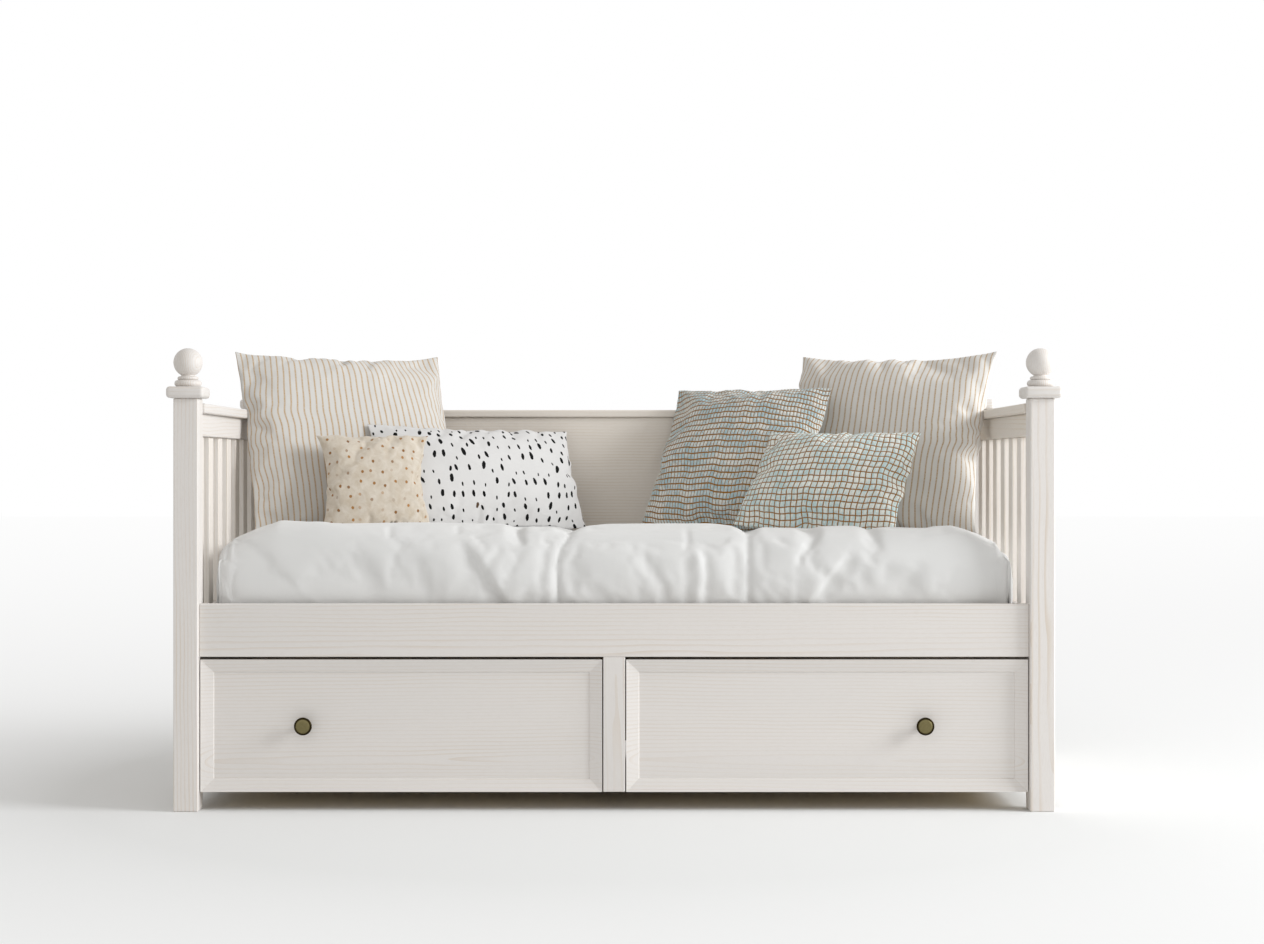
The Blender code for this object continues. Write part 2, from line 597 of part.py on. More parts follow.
def duvet_mesh():
    """The duvet's outside as a lid: a cage over the mattress, drawn down round it past the hem."""
    half_x = MATTRESS_LENGTH / 2 + DUVET_WALL
    half_y = MATTRESS_WIDTH / 2 + DUVET_WALL
    xs = cage_lines(half_x, DUVET_END_EDGE, DUVET_END_CORNER, DUVET_COLUMN_SHARES)
    ys = cage_lines(half_y, DUVET_SIDE_EDGE, DUVET_SIDE_CORNER, DUVET_ROW_SHARES)
    columns = len(xs) - 1
    rows = len(ys) - 1
    shape = bmesh.new()
    bmesh.ops.create_grid(shape, x_segments=columns, y_segments=rows, size=1.0)
    channels = [xs[column] for column in CHANNEL_COLUMNS]
    for point in shape.verts:
        column = round((point.co.x + 1) / 2 * columns)
        row = round((point.co.y + 1) / 2 * rows)
        rise = duvet_height(abs(xs[column]) / xs[-1], column, row)
        point.co = (xs[column], ys[row], MATTRESS_TOP + rise)
    rim = [edge for edge in shape.edges if edge.is_boundary]
    levels = (MATTRESS_TOP - DUVET_SHOULDER, RAIL_TOP, RAIL_TOP - 2 * DUVET_HEM_DROP)
    for level in levels:
        made = bmesh.ops.extrude_edge_only(shape, edges=rim)["geom"]
        for point in (g for g in made if isinstance(g, bmesh.types.BMVert)):
            if abs(point.co.x) >= xs[-1] - JOINT_GAP:
                point.co.x = math.copysign(half_x, point.co.x)
            if abs(point.co.y) >= ys[-1] - JOINT_GAP:
                sewn = any(abs(point.co.x - place) < JOINT_GAP for place in channels)
                point.co.y = math.copysign(half_y - (DUVET_FOLD_DEPTH if sewn else 0), point.co.y)
            point.co.z = level
        rim = [g for g in made if isinstance(g, bmesh.types.BMEdge)]
    bmesh.ops.contextual_create(shape, geom=rim)
    bmesh.ops.recalc_face_normals(shape, faces=shape.faces)
    mesh = bpy.data.meshes.new("duvet")
    shape.to_mesh(mesh)
    shape.free()
    return mesh


def add_subdivision(thing):
    rounding = thing.modifiers.new("rounding", "SUBSURF")
    rounding.levels = 1
    rounding.render_levels = 1


def duvet():
    """A puffy cover over the mattress, hollowed for it and cut level at the hem."""
    thing = new_object("duvet", duvet_mesh(), "white_cotton", (0, BED_MIDDLE, 0))
    smooth(thing.data)
    add_subdivision(thing)
    half = Vector((MATTRESS_LENGTH / 2 + JOINT_GAP, MATTRESS_WIDTH / 2 + JOINT_GAP, 0))
    middle = Vector((0, BED_MIDDLE, 0))
    top = Vector((0, 0, MATTRESS_TOP + JOINT_GAP))
    foot = Vector((0, 0, BASE_TOP - MATTRESS_HEIGHT))
    hollow = box_cutter("duvet_hollow", middle - half + foot, middle + half + top)
    add_bevel(hollow, MATTRESS_EDGE, segments=3)
    combine(thing, hollow)
    wide = Vector((2 * half.x, 2 * half.y, 0))
    hem = Vector((0, 0, RAIL_TOP - DUVET_HEM_DROP))
    combine(thing, box_cutter("duvet_hem", middle - wide + foot, middle + wide + hem))


def cushion_mesh(name, width, height, thickness):
    """A cushion on edge: crowned faces, a thin seam, drawn-in sides and top, and a fuller lower half."""
    shape = bmesh.new()
    bmesh.ops.create_grid(shape, x_segments=CUSHION_COLUMNS, y_segments=CUSHION_ROWS, size=1.0)
    bmesh.ops.solidify(shape, geom=shape.faces[:], thickness=1.0)
    middle = sum(point.co.z for point in shape.verts) / len(shape.verts)
    for point in shape.verts:
        across, up = point.co.x, point.co.y
        face = math.copysign(1, point.co.z - middle)
        fill = max(0.0, (1 - across ** 2) * (1 - up ** 2)) ** FILL_POWER * (1 - SAG_SHARE * up)
        top_draw = TOP_DRAW_SHARE * (1 - across ** 2) if up > 0 else 0
        ear = 1 + EAR_SHARE * (across * up) ** 4
        point.co = (
            across * width / 2 * ear * (1 - SIDE_DRAW_SHARE * (1 - up ** 2)),
            -face * (SEAM_THICKNESS / 2 + fill * (thickness - SEAM_THICKNESS) / 2),
            up * height / 2 * ear * (1 - top_draw),
        )
    if shape.calc_volume(signed=True) < 0:
        bmesh.ops.reverse_faces(shape, faces=shape.faces)
    mesh = bpy.data.meshes.new(name)
    shape.to_mesh(mesh)
    shape.free()
    smooth(mesh)
    return mesh


def world_triangles(thing):
    """The points and triangles of an object as it is seen, in world space."""
    graph = bpy.context.evaluated_depsgraph_get()
    seen = thing.evaluated_get(graph)
    mesh = seen.to_mesh()
    mesh.calc_loop_triangles()
    points = [seen.matrix_world @ v.co for v in mesh.vertices]
    faces = [tuple(t.vertices) for t in mesh.loop_triangles]
    seen.to_mesh_clear()
    return points, faces


def tree_of(things):
    points, faces = [], []
    for thing in things:
        own_points, own_faces = world_triangles(thing)
        start = len(points)
        points += own_points
        faces += [tuple(index + start for index in face) for face in own_faces]
    return BVHTree.FromPolygons(points, faces)


def slide_until_close(thing, direction, obstacles):
    """Moves a piece along a direction until it is JOINT_GAP short of the first obstacle."""
    direction = Vector(direction).normalized()
    points, faces = world_triangles(thing)

    def clear_at(travel):
        moved = [point + direction * travel for point in points]
        return not BVHTree.FromPolygons(moved, faces).overlap(obstacles)

    clear, blocked = 0.0, SEARCH_STEP
    while clear_at(blocked):
        clear, blocked = blocked, blocked + SEARCH_STEP
        if blocked > SEARCH_REACH:
            return
    while blocked - clear > JOINT_GAP / 10:
        half_way = (clear + blocked) / 2
        if clear_at(half_way):
            clear = half_way
        else:
            blocked = half_way
    thing.location += direction * (clear - JOINT_GAP)
    bpy.context.view_layer.update()


def cushions():
    """Each cushion is lowered onto the duvet, leaned back against what is behind it and lowered again."""
    for name, (width, height, thickness) in CUSHION_SIZES.items():
        (x_share, y_share), (lean, roll, yaw) = CUSHION_PLACES[name]
        place = (x_share * MATTRESS_LENGTH / 2, BED_MIDDLE + y_share * MATTRESS_WIDTH / 2,
                 MATTRESS_TOP + DUVET_HEIGHT + DUVET_CREST + height / 2 + START_LIFT)
        finish = CUSHION_FINISHES[name]
        thing = new_object(name, cushion_mesh(name, width, height, thickness), finish, place)
        thing.rotation_euler = (math.radians(-lean), math.radians(roll), math.radians(yaw))
        add_subdivision(thing)
        bpy.context.view_layer.update()
        others = [o for o in parts.objects if o.type == "MESH" and o is not thing]
        obstacles = tree_of(others)
        back = (-math.sin(math.radians(yaw)), math.cos(math.radians(yaw)), 0)
        slide_until_close(thing, (0, 0, -1), obstacles)
        thing.location.z += SLIDE_LIFT
        bpy.context.view_layer.update()
        slide_until_close(thing, back, obstacles)
        slide_until_close(thing, (0, 0, -1), obstacles)


clear_scene()
parts = new_collection("storage_daybed")
cutters = new_collection("cutters")
corner_posts()
end_frames()
back_frame()
front_frame()
bed_base()
runners()
drawer("left", -1)
drawer("right", 1)
mattress()
duvet()
cushions()
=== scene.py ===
# %% [markdown]
# # A white-stained storage daybed
# The construction of the bed is ready: posts, rails, slats, drawers, mattress and bedding all stand at their
# real size in the frame that is loaded first. This notebook gives that frame its looks. Boards whose shape
# is right keep their mesh and get a finish. Turned, cast and sewn pieces are made again with a finer
# surface, each in the place of the plain solid that it stands for.

# %% Load the frame
import json
import math

import bmesh
import bpy
import numpy as np
from mathutils import Euler, Matrix, Vector
from mathutils.bvhtree import BVHTree


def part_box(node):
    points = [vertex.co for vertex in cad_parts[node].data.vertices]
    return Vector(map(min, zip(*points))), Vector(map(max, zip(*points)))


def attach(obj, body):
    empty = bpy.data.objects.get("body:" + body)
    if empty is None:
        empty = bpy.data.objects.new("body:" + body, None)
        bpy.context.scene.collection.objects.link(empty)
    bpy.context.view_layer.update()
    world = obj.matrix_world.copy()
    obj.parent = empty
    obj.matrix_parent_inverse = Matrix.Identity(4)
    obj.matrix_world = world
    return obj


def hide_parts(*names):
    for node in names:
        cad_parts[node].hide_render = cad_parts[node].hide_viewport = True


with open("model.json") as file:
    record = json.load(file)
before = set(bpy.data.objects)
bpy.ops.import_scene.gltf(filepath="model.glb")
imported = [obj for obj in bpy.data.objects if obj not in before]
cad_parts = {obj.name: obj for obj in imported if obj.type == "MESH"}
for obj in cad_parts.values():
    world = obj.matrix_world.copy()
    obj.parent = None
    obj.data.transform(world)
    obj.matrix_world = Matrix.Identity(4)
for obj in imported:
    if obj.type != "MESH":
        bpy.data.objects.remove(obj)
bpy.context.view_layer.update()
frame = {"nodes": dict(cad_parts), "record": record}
NODES = frame["nodes"]
MM = 0.001
scene = bpy.context.scene

# %% [markdown]
# ## Small helpers
# Colours are written as sRGB hex values, the way a paint card gives them, and one function turns them
# linear. A material is a graph of nodes, so one function adds a node with its settings and inputs. Where an
# input comes from another node, it takes that node's first result that is in use, unless a socket is named.

# %% Colours, nodes and pieces
SHARP_ANGLE = math.radians(50)


def colour(code):
    """An sRGB hex colour as linear red, green, blue and alpha."""
    parts = [int(code[i : i + 2], 16) / 255 for i in (0, 2, 4)]
    return (*[p / 12.92 if p <= 0.04045 else ((p + 0.055) / 1.055) ** 2.4 for p in parts], 1.0)


def feed(node, inputs):
    """Fills a node's inputs, by name or number, with a value, a hex colour, a socket or another node."""
    for key, value in inputs.items():
        if isinstance(value, bpy.types.Node):
            value = next(socket for socket in value.outputs if socket.enabled)
        if isinstance(value, bpy.types.NodeSocket):
            node.id_data.links.new(value, node.inputs[key])
        else:
            node.inputs[key].default_value = colour(value) if isinstance(value, str) else value


def add(tree, kind, inputs=None, **settings):
    """Adds a node: settings are its properties, and inputs are fed to it."""
    node = tree.nodes.new(kind)
    for key, value in settings.items():
        setattr(node, key, value)
    feed(node, inputs or {})
    return node


def new_material(name, **values):
    """A material with its Principled shader, which takes the values under its own names for them."""
    made = bpy.data.materials.new(name)
    made.use_nodes = True
    shader = made.node_tree.nodes["Principled BSDF"]
    feed(shader, {key.replace("_", " "): value for key, value in values.items()})
    return made, made.node_tree, shader


def paint(thing, material):
    """Gives a whole piece one material."""
    thing.data.materials.clear()
    thing.data.materials.append(material)


def linked(name, data):
    """A new object in the scene."""
    thing = bpy.data.objects.new(name, data)
    scene.collection.objects.link(thing)
    return thing


def new_piece(name, mesh, body, material, stands_for):
    """Links a finished mesh as a piece that rides on a body and stands for CAD nodes."""
    thing = linked(name, mesh)
    if material:
        paint(thing, material)
    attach(thing, body)
    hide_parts(*stands_for)
    return thing


def mesh_from(name, shape):
    """Turns a bmesh into a mesh that is smooth except at its sharp edges."""
    mesh = bpy.data.meshes.new(name)
    shape.to_mesh(mesh)
    shape.free()
    mesh.shade_smooth()
    mesh.set_sharp_from_angle(angle=SHARP_ANGLE)
    return mesh


def plain_mesh(thing):
    """An object's shape with its modifiers applied, as a new mesh."""
    return bpy.data.meshes.new_from_object(thing.evaluated_get(bpy.context.evaluated_depsgraph_get()))


# %% [markdown]
# ## Camera
# The photograph is taken square to the front, from five metres off and a little below the top of the posts.
# The lens and the height were found from the sizes of the bed in the picture. The camera comes before the
# pieces, so that each can be judged in the same frame.

# %% Set up the camera
CAMERA_DISTANCE = 5.0
CAMERA_SIDE = 0.0417
CAMERA_HEIGHT = 0.8037
LENS_MM = 60.95
SENSOR_MM = 36.0
PHOTO_WIDTH = 1264
PHOTO_HEIGHT = 944
SHIFT_PIXELS = -4
CLIP_END = 100
PIXEL_REACH = LENS_MM / SENSOR_MM * PHOTO_WIDTH

camera = linked("photo_camera", bpy.data.cameras.new("photo_camera"))
camera.location = (CAMERA_SIDE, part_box("post_front_left")[0].y - CAMERA_DISTANCE, CAMERA_HEIGHT)
camera.rotation_euler = (math.radians(90), 0, 0)
camera.data.lens = LENS_MM
camera.data.sensor_width = SENSOR_MM
camera.data.shift_y = SHIFT_PIXELS / PHOTO_WIDTH
camera.data.clip_end = CLIP_END
scene.camera = camera


def in_picture(point):
    """Where a point falls in the 1264 x 944 picture, to set a piece against the photograph."""
    away = point[1] - camera.location.y
    right = PHOTO_WIDTH / 2 + (point[0] - CAMERA_SIDE) / away * PIXEL_REACH
    down = PHOTO_HEIGHT / 2 + SHIFT_PIXELS - (point[2] - CAMERA_HEIGHT) / away * PIXEL_REACH
    return round(right, 1), round(down, 1)


print("camera at", [round(v, 3) for v in camera.location])

# %% [markdown]
# ## Studio
# A pale floor runs to a white background. The key lamp is a large softbox to the right of the bed, so the
# insides that face right are bright and the floor's shadow falls to the left. The world is an even fill at a
# plain level. What the camera and shiny metal see of it is white, by way of Light Path.

# %% Fill light and lamp
FILL_LEVEL = 0.63
FILL_COLOUR = "FFFDFA"
KEY_PLACE = Vector((7.4, -2.15, 3.5))
KEY_AIM = Vector((0.0, 0.0, 0.35))
KEY_SIZE = (3.5, 2.9)
KEY_WATTS = 532
KEY_COLOUR = "FBFDFF"

scene.view_settings.view_transform = "Standard"
world = bpy.data.worlds.new("white_studio")
scene.world = world
world.use_nodes = True
sky = world.node_tree
sky.nodes.clear()
path = add(sky, "ShaderNodeLightPath").outputs
plain = add(sky, "ShaderNodeMath", {0: path["Is Camera Ray"], 1: path["Is Glossy Ray"]}, operation="MAXIMUM")
direct = add(sky, "ShaderNodeMath", {0: plain, 1: path["Is Transmission Ray"]}, operation="MAXIMUM")
level = add(sky, "ShaderNodeMapRange", {"Value": direct, "To Min": FILL_LEVEL, "To Max": 1.0})
warmth = add(sky, "ShaderNodeMix", {"Factor": direct, 6: FILL_COLOUR, 7: "FFFFFF"}, data_type="RGBA")
light = add(sky, "ShaderNodeBackground", {"Color": warmth, "Strength": level})
add(sky, "ShaderNodeOutputWorld", {"Surface": light})

lamp = bpy.data.lights.new("softbox", "AREA")
lamp.shape = "RECTANGLE"
lamp.size, lamp.size_y = KEY_SIZE
lamp.energy = KEY_WATTS
lamp.color = colour(KEY_COLOUR)[:3]
softbox = linked("softbox", lamp)
softbox.location = KEY_PLACE
softbox.rotation_euler = (KEY_AIM - KEY_PLACE).to_track_quat("-Z", "Y").to_euler()
print("key lamp", KEY_WATTS, "W, fill", FILL_LEVEL)

# %% Floor that fades into the white
FLOOR_SPAN = 60.0
# The floor is its own colour up to the start, and half white at the start plus the half
FADE_START = 1.35
FADE_HALF = 1.25

shape = bmesh.new()
bmesh.ops.create_grid(shape, x_segments=1, y_segments=1, size=FLOOR_SPAN / 2)
floor = linked("floor", mesh_from("floor", shape))
floor_paint, tree, shader = new_material("pale_studio_floor", Base_Color="EFF0F0", Roughness=0.9,
                                         Specular_IOR_Level=0.1)
place = add(tree, "ShaderNodeTexCoord").outputs["Object"]
away = add(tree, "ShaderNodeVectorMath", {0: place}, operation="LENGTH")
past_start = add(tree, "ShaderNodeMath", {0: away, 1: FADE_START}, operation="SUBTRACT")
from_start = add(tree, "ShaderNodeMath", {0: past_start, 1: 0.0}, operation="MAXIMUM")
whole_way = add(tree, "ShaderNodeMath", {0: from_start, 1: FADE_HALF}, operation="ADD")
fade = add(tree, "ShaderNodeMath", {0: from_start, 1: whole_way}, operation="DIVIDE")
seen = add(tree, "ShaderNodeLightPath").outputs["Is Camera Ray"]
share = add(tree, "ShaderNodeMath", {0: fade, 1: seen}, operation="MULTIPLY")
white = add(tree, "ShaderNodeEmission", {"Color": "FFFFFF", "Strength": 1.0})
mixed = add(tree, "ShaderNodeMixShader", {0: share, 1: shader, 2: white})
feed(tree.nodes["Material Output"], {"Surface": mixed})
paint(floor, floor_paint)
print("floor", FLOOR_SPAN, "m wide, half white", FADE_START + FADE_HALF, "m from the middle")

# %% [markdown]
# ## White-stained pine
# Planed pine under a thin white stain and a matt lacquer: the board is nearly white, and the harder late
# wood of each year ring takes less stain and shows as a fine tan line. A picture of a plank would repeat, so
# the rings are drawn as what they are, cylinders round the log's heart, which runs behind each board and
# leans a little to it. The board's faces then cut the rings into long lines and arches, and its ends show
# them too. Rings are 8.5 mm apart, and the pores, really about 0.1 mm wide, are drawn 1.6 mm wide, to show.

# %% The pine material
GRAIN_TURNS = {"X": (0, 0, 0), "Y": (0, 0, math.radians(-90)), "Z": (0, math.radians(90), 0)}
# One turn of the wave texture's rings takes this length at scale 1
WAVE_LENGTH = 2 * math.pi / 20
RING_WIDTH = 8.5 * MM
# Where a board is cut: its distance along the log, and beside and in front of the heart
CUT_ALONG = 3.0
CUT_BESIDE = 30 * MM
CUT_AWAY = (50 * MM, 90 * MM)
HEART_LEAN = (math.radians(1.6), math.radians(1.0))
# The figure is drawn out along the grain, and a pore is nine times as long as it is wide
FIGURE_STRETCH = (0.16, 1, 1)
PORE_SHAPE = (9, 1, 1)
PORE_WIDTH = 1.6129 * MM
STRONG_PATCH = 71.429 * MM
STAIN_CLOUD = 200 * MM
RING_DEPTH = 0.25 * MM
# Early wood, late wood, clouds in the stain, pores, and the lacquer's roughness
WHITE_STAIN = ("EAE5E1", "D3C4B2", "DDDAD7", "C9BDB0", 0.52)
# A warmer copy of the white stain: painted shade, the warm tone of light bounced between boards in shadow
SHADE_WARMED_STAIN = ("E9E2D9", "D5C6B1", "E3DCD3", "CCBEAC", 0.52)
# A paler copy of the white stain for the end slats: painted light, so they look more brightly lit
PAINTED_LIGHT_SLAT_STAIN = ("F2ECE6", "DED0BE", "ECE6DF", "D4C7B8", 0.52)
BARE_PINE = ("E3CFAA", "C39B67", "DCC6A0", "B08A5A", 0.62)


def chance(seed, low, high):
    """A number between low and high that is always the same for a seed."""
    return low + (high - low) * (math.sin(seed * 12.9898 + 4.1414) * 43758.5453 % 1.0)


def clouded(tree, where, size, light, dark, detail=3.0):
    """A colour that drifts between two tones in clouds of one size."""
    clouds = add(tree, "ShaderNodeTexNoise", {"Vector": where, "Scale": 1 / size, "Detail": detail})
    return add(tree, "ShaderNodeMix", {"Factor": clouds, 6: light, 7: dark}, data_type="RGBA")


def pine(name, grain, middle, seed, stain, ring=RING_WIDTH, strength=1.0):
    """Pine whose grain runs along an axis, cut from its own place in the log."""
    early, late, cloud, pore, roughness = stain
    made, tree, shader = new_material(name, Roughness=roughness)
    heart = Vector((chance(seed, -CUT_ALONG, CUT_ALONG), chance(seed + 1, -CUT_BESIDE, CUT_BESIDE),
                    chance(seed + 2, *CUT_AWAY)))
    turn = Euler(GRAIN_TURNS[grain])
    start = heart - (turn.to_matrix() @ Vector(middle))
    lean = (0, *[chance(seed + 3 + i, -most, most) for i, most in enumerate(HEART_LEAN)])
    place = add(tree, "ShaderNodeTexCoord").outputs["Object"]
    board = add(tree, "ShaderNodeMapping", {"Vector": place, "Rotation": turn, "Location": start})
    log = add(tree, "ShaderNodeMapping", {"Vector": board, "Rotation": lean})
    drawn = add(tree, "ShaderNodeVectorMath", {0: log, 1: FIGURE_STRETCH}, operation="MULTIPLY")
    rings = add(tree, "ShaderNodeTexWave",
                {"Vector": drawn, "Scale": WAVE_LENGTH / ring, "Distortion": 5.0, "Detail": 2.0,
                 "Detail Scale": 0.45, "Detail Roughness": 0.55},
                wave_type="RINGS", rings_direction="X", wave_profile="SAW")
    # The late wood darkens towards a ring's end, and its lines fade away in patches
    line = add(tree, "ShaderNodeMapRange", {"Value": rings.outputs["Fac"], "From Min": 0.55,
                                            "From Max": 0.95}, interpolation_type="SMOOTHSTEP")
    patches = add(tree, "ShaderNodeTexNoise", {"Vector": drawn, "Scale": 1 / STRONG_PATCH, "Detail": 2.0})
    fading = add(tree, "ShaderNodeMapRange", {"Value": patches, "From Min": 0.42, "From Max": 0.75,
                                              "To Min": 0.13, "To Max": 0.75 * strength})
    shown = add(tree, "ShaderNodeMath", {0: line, 1: fading}, operation="MULTIPLY")
    along = add(tree, "ShaderNodeVectorMath", {0: log, 1: PORE_SHAPE}, operation="DIVIDE")
    pores = add(tree, "ShaderNodeTexNoise", {"Vector": along, "Scale": 1 / PORE_WIDTH, "Detail": 2.0,
                                             "Roughness": 0.6})
    pored = add(tree, "ShaderNodeMapRange", {"Value": pores, "From Min": 0.5, "From Max": 0.8,
                                             "To Max": 0.22 * strength})
    ground = clouded(tree, drawn, STAIN_CLOUD, early, cloud, detail=1.0)
    ringed = add(tree, "ShaderNodeMix", {"Factor": shown, 6: ground, 7: late}, data_type="RGBA")
    final = add(tree, "ShaderNodeMix", {"Factor": pored, 6: ringed, 7: pore}, data_type="RGBA")
    gloss = add(tree, "ShaderNodeMapRange", {"Value": pores, "To Min": roughness - 0.08,
                                             "To Max": roughness + 0.12})
    height = add(tree, "ShaderNodeMath", {0: line, 1: pores}, operation="SUBTRACT")
    bump = add(tree, "ShaderNodeBump", {"Height": height, "Strength": 0.35, "Distance": RING_DEPTH})
    feed(shader, {"Base Color": final, "Roughness": gloss, "Normal": bump})
    return made


# %% [markdown]
# ## Boards
# Posts, rails, panels, slats and drawer parts already have their true shape, so each keeps its mesh. A
# board's grain runs along its longest side. Every board gets its own cut of the log, as if sawn from its own
# plank. The boards at the back and the right side get a warmer stain, painted shade for the warm light
# bounced into their shadow. The end slats get a paler stain, painted light. The drawer fronts, the stile and
# the front rail are cut from calmer wood.

# %% Finish every board
# Back boards and right side boards, which stand in shade, take the warmer stain as painted shade
SHADE_WARMED_BOARDS = [name for name in NODES if name.startswith(("back_", "side_"))
               and not any(word in name for word in ("left", "lower_panel_right"))]
OTHER_NODES = ("mattress", "duvet", "cushion", "newel_cap", "knob", "slatted_base")
CALM_BOARDS = {"left_drawer_front": 0.6, "right_drawer_front": 0.6, "centre_stile": 0.6, "front_rail": 0.75}


def long_axis(low, high):
    """The axis along which a box is longest."""
    size = high - low
    return "XYZ"[max(range(3), key=lambda i: size[i])]


boards = sorted(name for name in NODES if not any(word in name for word in OTHER_NODES))
slot_of = {row["node"]: row["material_slot"] for row in frame["record"]["subparts"]}
for index, name in enumerate(boards):
    low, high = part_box(name)
    stain = SHADE_WARMED_STAIN if name in SHADE_WARMED_BOARDS else WHITE_STAIN
    if slot_of[name] == "raw_pine":
        stain = BARE_PINE
    elif name.startswith("side_slat"):
        # The end slats take the paler stain as painted light
        stain = PAINTED_LIGHT_SLAT_STAIN
    grain = "X" if name.endswith("drawer_front") else long_axis(low, high)
    paint(NODES[name], pine("pine_" + name, grain, (low + high) / 2, 17 * index + 3, stain,
                            strength=CALM_BOARDS.get(name, 1.0)))
print(len(boards), "boards finished")

# %% [markdown]
# ## Newel caps and ball finials
# Each post carries a square board with rounded edges, and on it a ball turned from one piece with its neck,
# ring and bead. A lathe turns a profile round an axis, so the profile is written down once, with arcs for
# the ball and the beads, and spun in many small steps. That gives the ball the even shine that facets would
# spoil.

# %% Turn the finials and round the boards
CAP_HEIGHT = 27 * MM
CAP_ROUND = 8.5 * MM
# Diameter and height of what is turned below the ball
BEAD = (63 * MM, 16 * MM)
RING = (49 * MM, 8.5 * MM)
NECK = (32 * MM, 3 * MM)
COVE_RADIUS = 2 * MM
COVE_RISE = 2.4 * MM
BALL_DIAMETER = 67.5 * MM
SPIN_STEPS = 96
MERGE = 0.01 * MM
# A finial is cut from a thin log, so its rings lie closer and show more
FINIAL_RINGS = 4.5 * MM
FINIAL_STRENGTH = 1.7


def arc_points(centre, radius, start, end, count):
    """Points on an arc in the radius and height plane, with its angles in degrees."""
    angles = np.radians(np.linspace(start, end, count))
    return [(centre[0] + radius * math.cos(a), centre[1] + radius * math.sin(a)) for a in angles]


def turned(name, profile):
    """Spins a profile of (radius, height) points round Z into one closed, smooth mesh."""
    shape = bmesh.new()
    points = [shape.verts.new((radius, 0, height)) for radius, height in profile]
    edges = [shape.edges.new(pair) for pair in zip(points, points[1:])]
    bmesh.ops.spin(shape, geom=points + edges, axis=(0, 0, 1), cent=(0, 0, 0), angle=math.tau,
                   steps=SPIN_STEPS)
    bmesh.ops.remove_doubles(shape, verts=shape.verts, dist=MERGE)
    bmesh.ops.recalc_face_normals(shape, faces=shape.faces)
    return mesh_from(name, shape)


def rounded_side(size, foot, count):
    """The round side of a disc of a diameter and height that stands on a foot."""
    return arc_points((size[0] / 2 - size[1] / 2, foot + size[1] / 2), size[1] / 2, 90, -90, count)


def finial_profile(foot):
    """From the ball's top down to the foot of the bead, which stands on the cap at height foot."""
    ring_foot = foot + BEAD[1]
    ring_top = ring_foot + RING[1]
    neck_radius, ball_radius = NECK[0] / 2, BALL_DIAMETER / 2
    touch = math.acos(neck_radius / ball_radius)
    middle = ring_top + NECK[1] + ball_radius * math.sin(touch)
    ball = arc_points((0, middle), ball_radius, 88, -math.degrees(touch), 40)
    cove = arc_points((neck_radius + COVE_RADIUS, ring_top + COVE_RISE), COVE_RADIUS, 180, 255, 6)
    return [(0, middle + ball_radius), *ball, *cove, *rounded_side(RING, ring_foot, 12),
            *rounded_side(BEAD, foot, 14), (0, foot)]


def rounded_board(name, low, high, radius, segments=6):
    """A board with round edges and corners, between two corners."""
    shape = bmesh.new()
    bmesh.ops.create_cube(shape, size=1.0)
    low, high = Vector(low), Vector(high)
    bmesh.ops.scale(shape, vec=high - low, verts=shape.verts)
    bmesh.ops.translate(shape, vec=(low + high) / 2, verts=shape.verts)
    bmesh.ops.bevel(shape, geom=shape.edges[:] + shape.verts[:], offset=radius, segments=segments,
                    profile=0.5, affect="EDGES")
    return mesh_from(name, shape)


for index, corner in enumerate(("front_left", "front_right", "back_left", "back_right")):
    node = "newel_cap_" + corner
    low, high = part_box(node)
    middle = Vector(((low.x + high.x) / 2, (low.y + high.y) / 2, low.z))
    seed = 400 + 9 * index
    board_mesh = rounded_board("cap_board_" + corner, low, (high.x, high.y, low.z + CAP_HEIGHT), CAP_ROUND)
    finish = pine("pine_cap_" + corner, "X", middle, seed, WHITE_STAIN)
    new_piece("cap_board_" + corner, board_mesh, "frame", finish, [node])
    ball_mesh = turned("finial_" + corner, finial_profile(CAP_HEIGHT))
    ball_mesh.transform(Matrix.Translation(middle))
    finish = pine("pine_finial_" + corner, "Z", middle, seed + 5, WHITE_STAIN, FINIAL_RINGS, FINIAL_STRENGTH)
    new_piece("finial_" + corner, ball_mesh, "frame", finish, [node])
print("finials reach", round(max(v.co.z for v in ball_mesh.vertices), 4), "m")

# %% [markdown]
# ## Knobs of aged brass
# Each drawer has one mushroom knob, turned from brass and left to darken. Its flat face is rubbed to an
# olive brown, and the groove inside its rim keeps a nearly black patina. The rim itself gets the same near
# black, a painted dark reflection. The profile is turned round the knob's own axis, which points out of the
# drawer. Patina and painted reflection are one colour that depends on how far a point is from that axis, so
# it needs no picture.

# %% Turn the knobs
KNOB_RADIUS = 21 * MM
KNOB_BACK = 20 * MM
KNOB_LENGTH = 29 * MM
GROOVE_RADIUS = 16.6 * MM
RIM_ROUND = 3.4 * MM
TARNISH_SPOT = 5.2632 * MM
TARNISH_DEPTH = 0.1 * MM


def knob_profile():
    """Radius and height from the middle of the face to the base disc."""
    rim = arc_points((KNOB_RADIUS - RIM_ROUND, KNOB_LENGTH - RIM_ROUND - MM), RIM_ROUND, 62, -70, 14)
    # Radius and depth under the face, which is a little crowned. The groove lies between it and the rim
    face = ((0, 0.2), (6, 0.25), (12, 0.5))
    groove = ((-0.8, 0.9), (-0.3, 1.5), (0.4, 1.6), (0.9, 1.1))
    base = ((7, 6), (8, 4), (10.6, 3), (11, 2.4), (11, 0.3), (0, 0.3))
    return [
        *[(radius * MM, KNOB_LENGTH - depth * MM) for radius, depth in face],
        *[(GROOVE_RADIUS + past * MM, KNOB_LENGTH - depth * MM) for past, depth in groove],
        *rim, (14 * MM, KNOB_BACK - 1.2 * MM),
        *arc_points((12.5 * MM, 11.5 * MM), 5.5 * MM, 100, 180, 8)[1:],
        *[(radius * MM, height * MM) for radius, height in base],
    ]


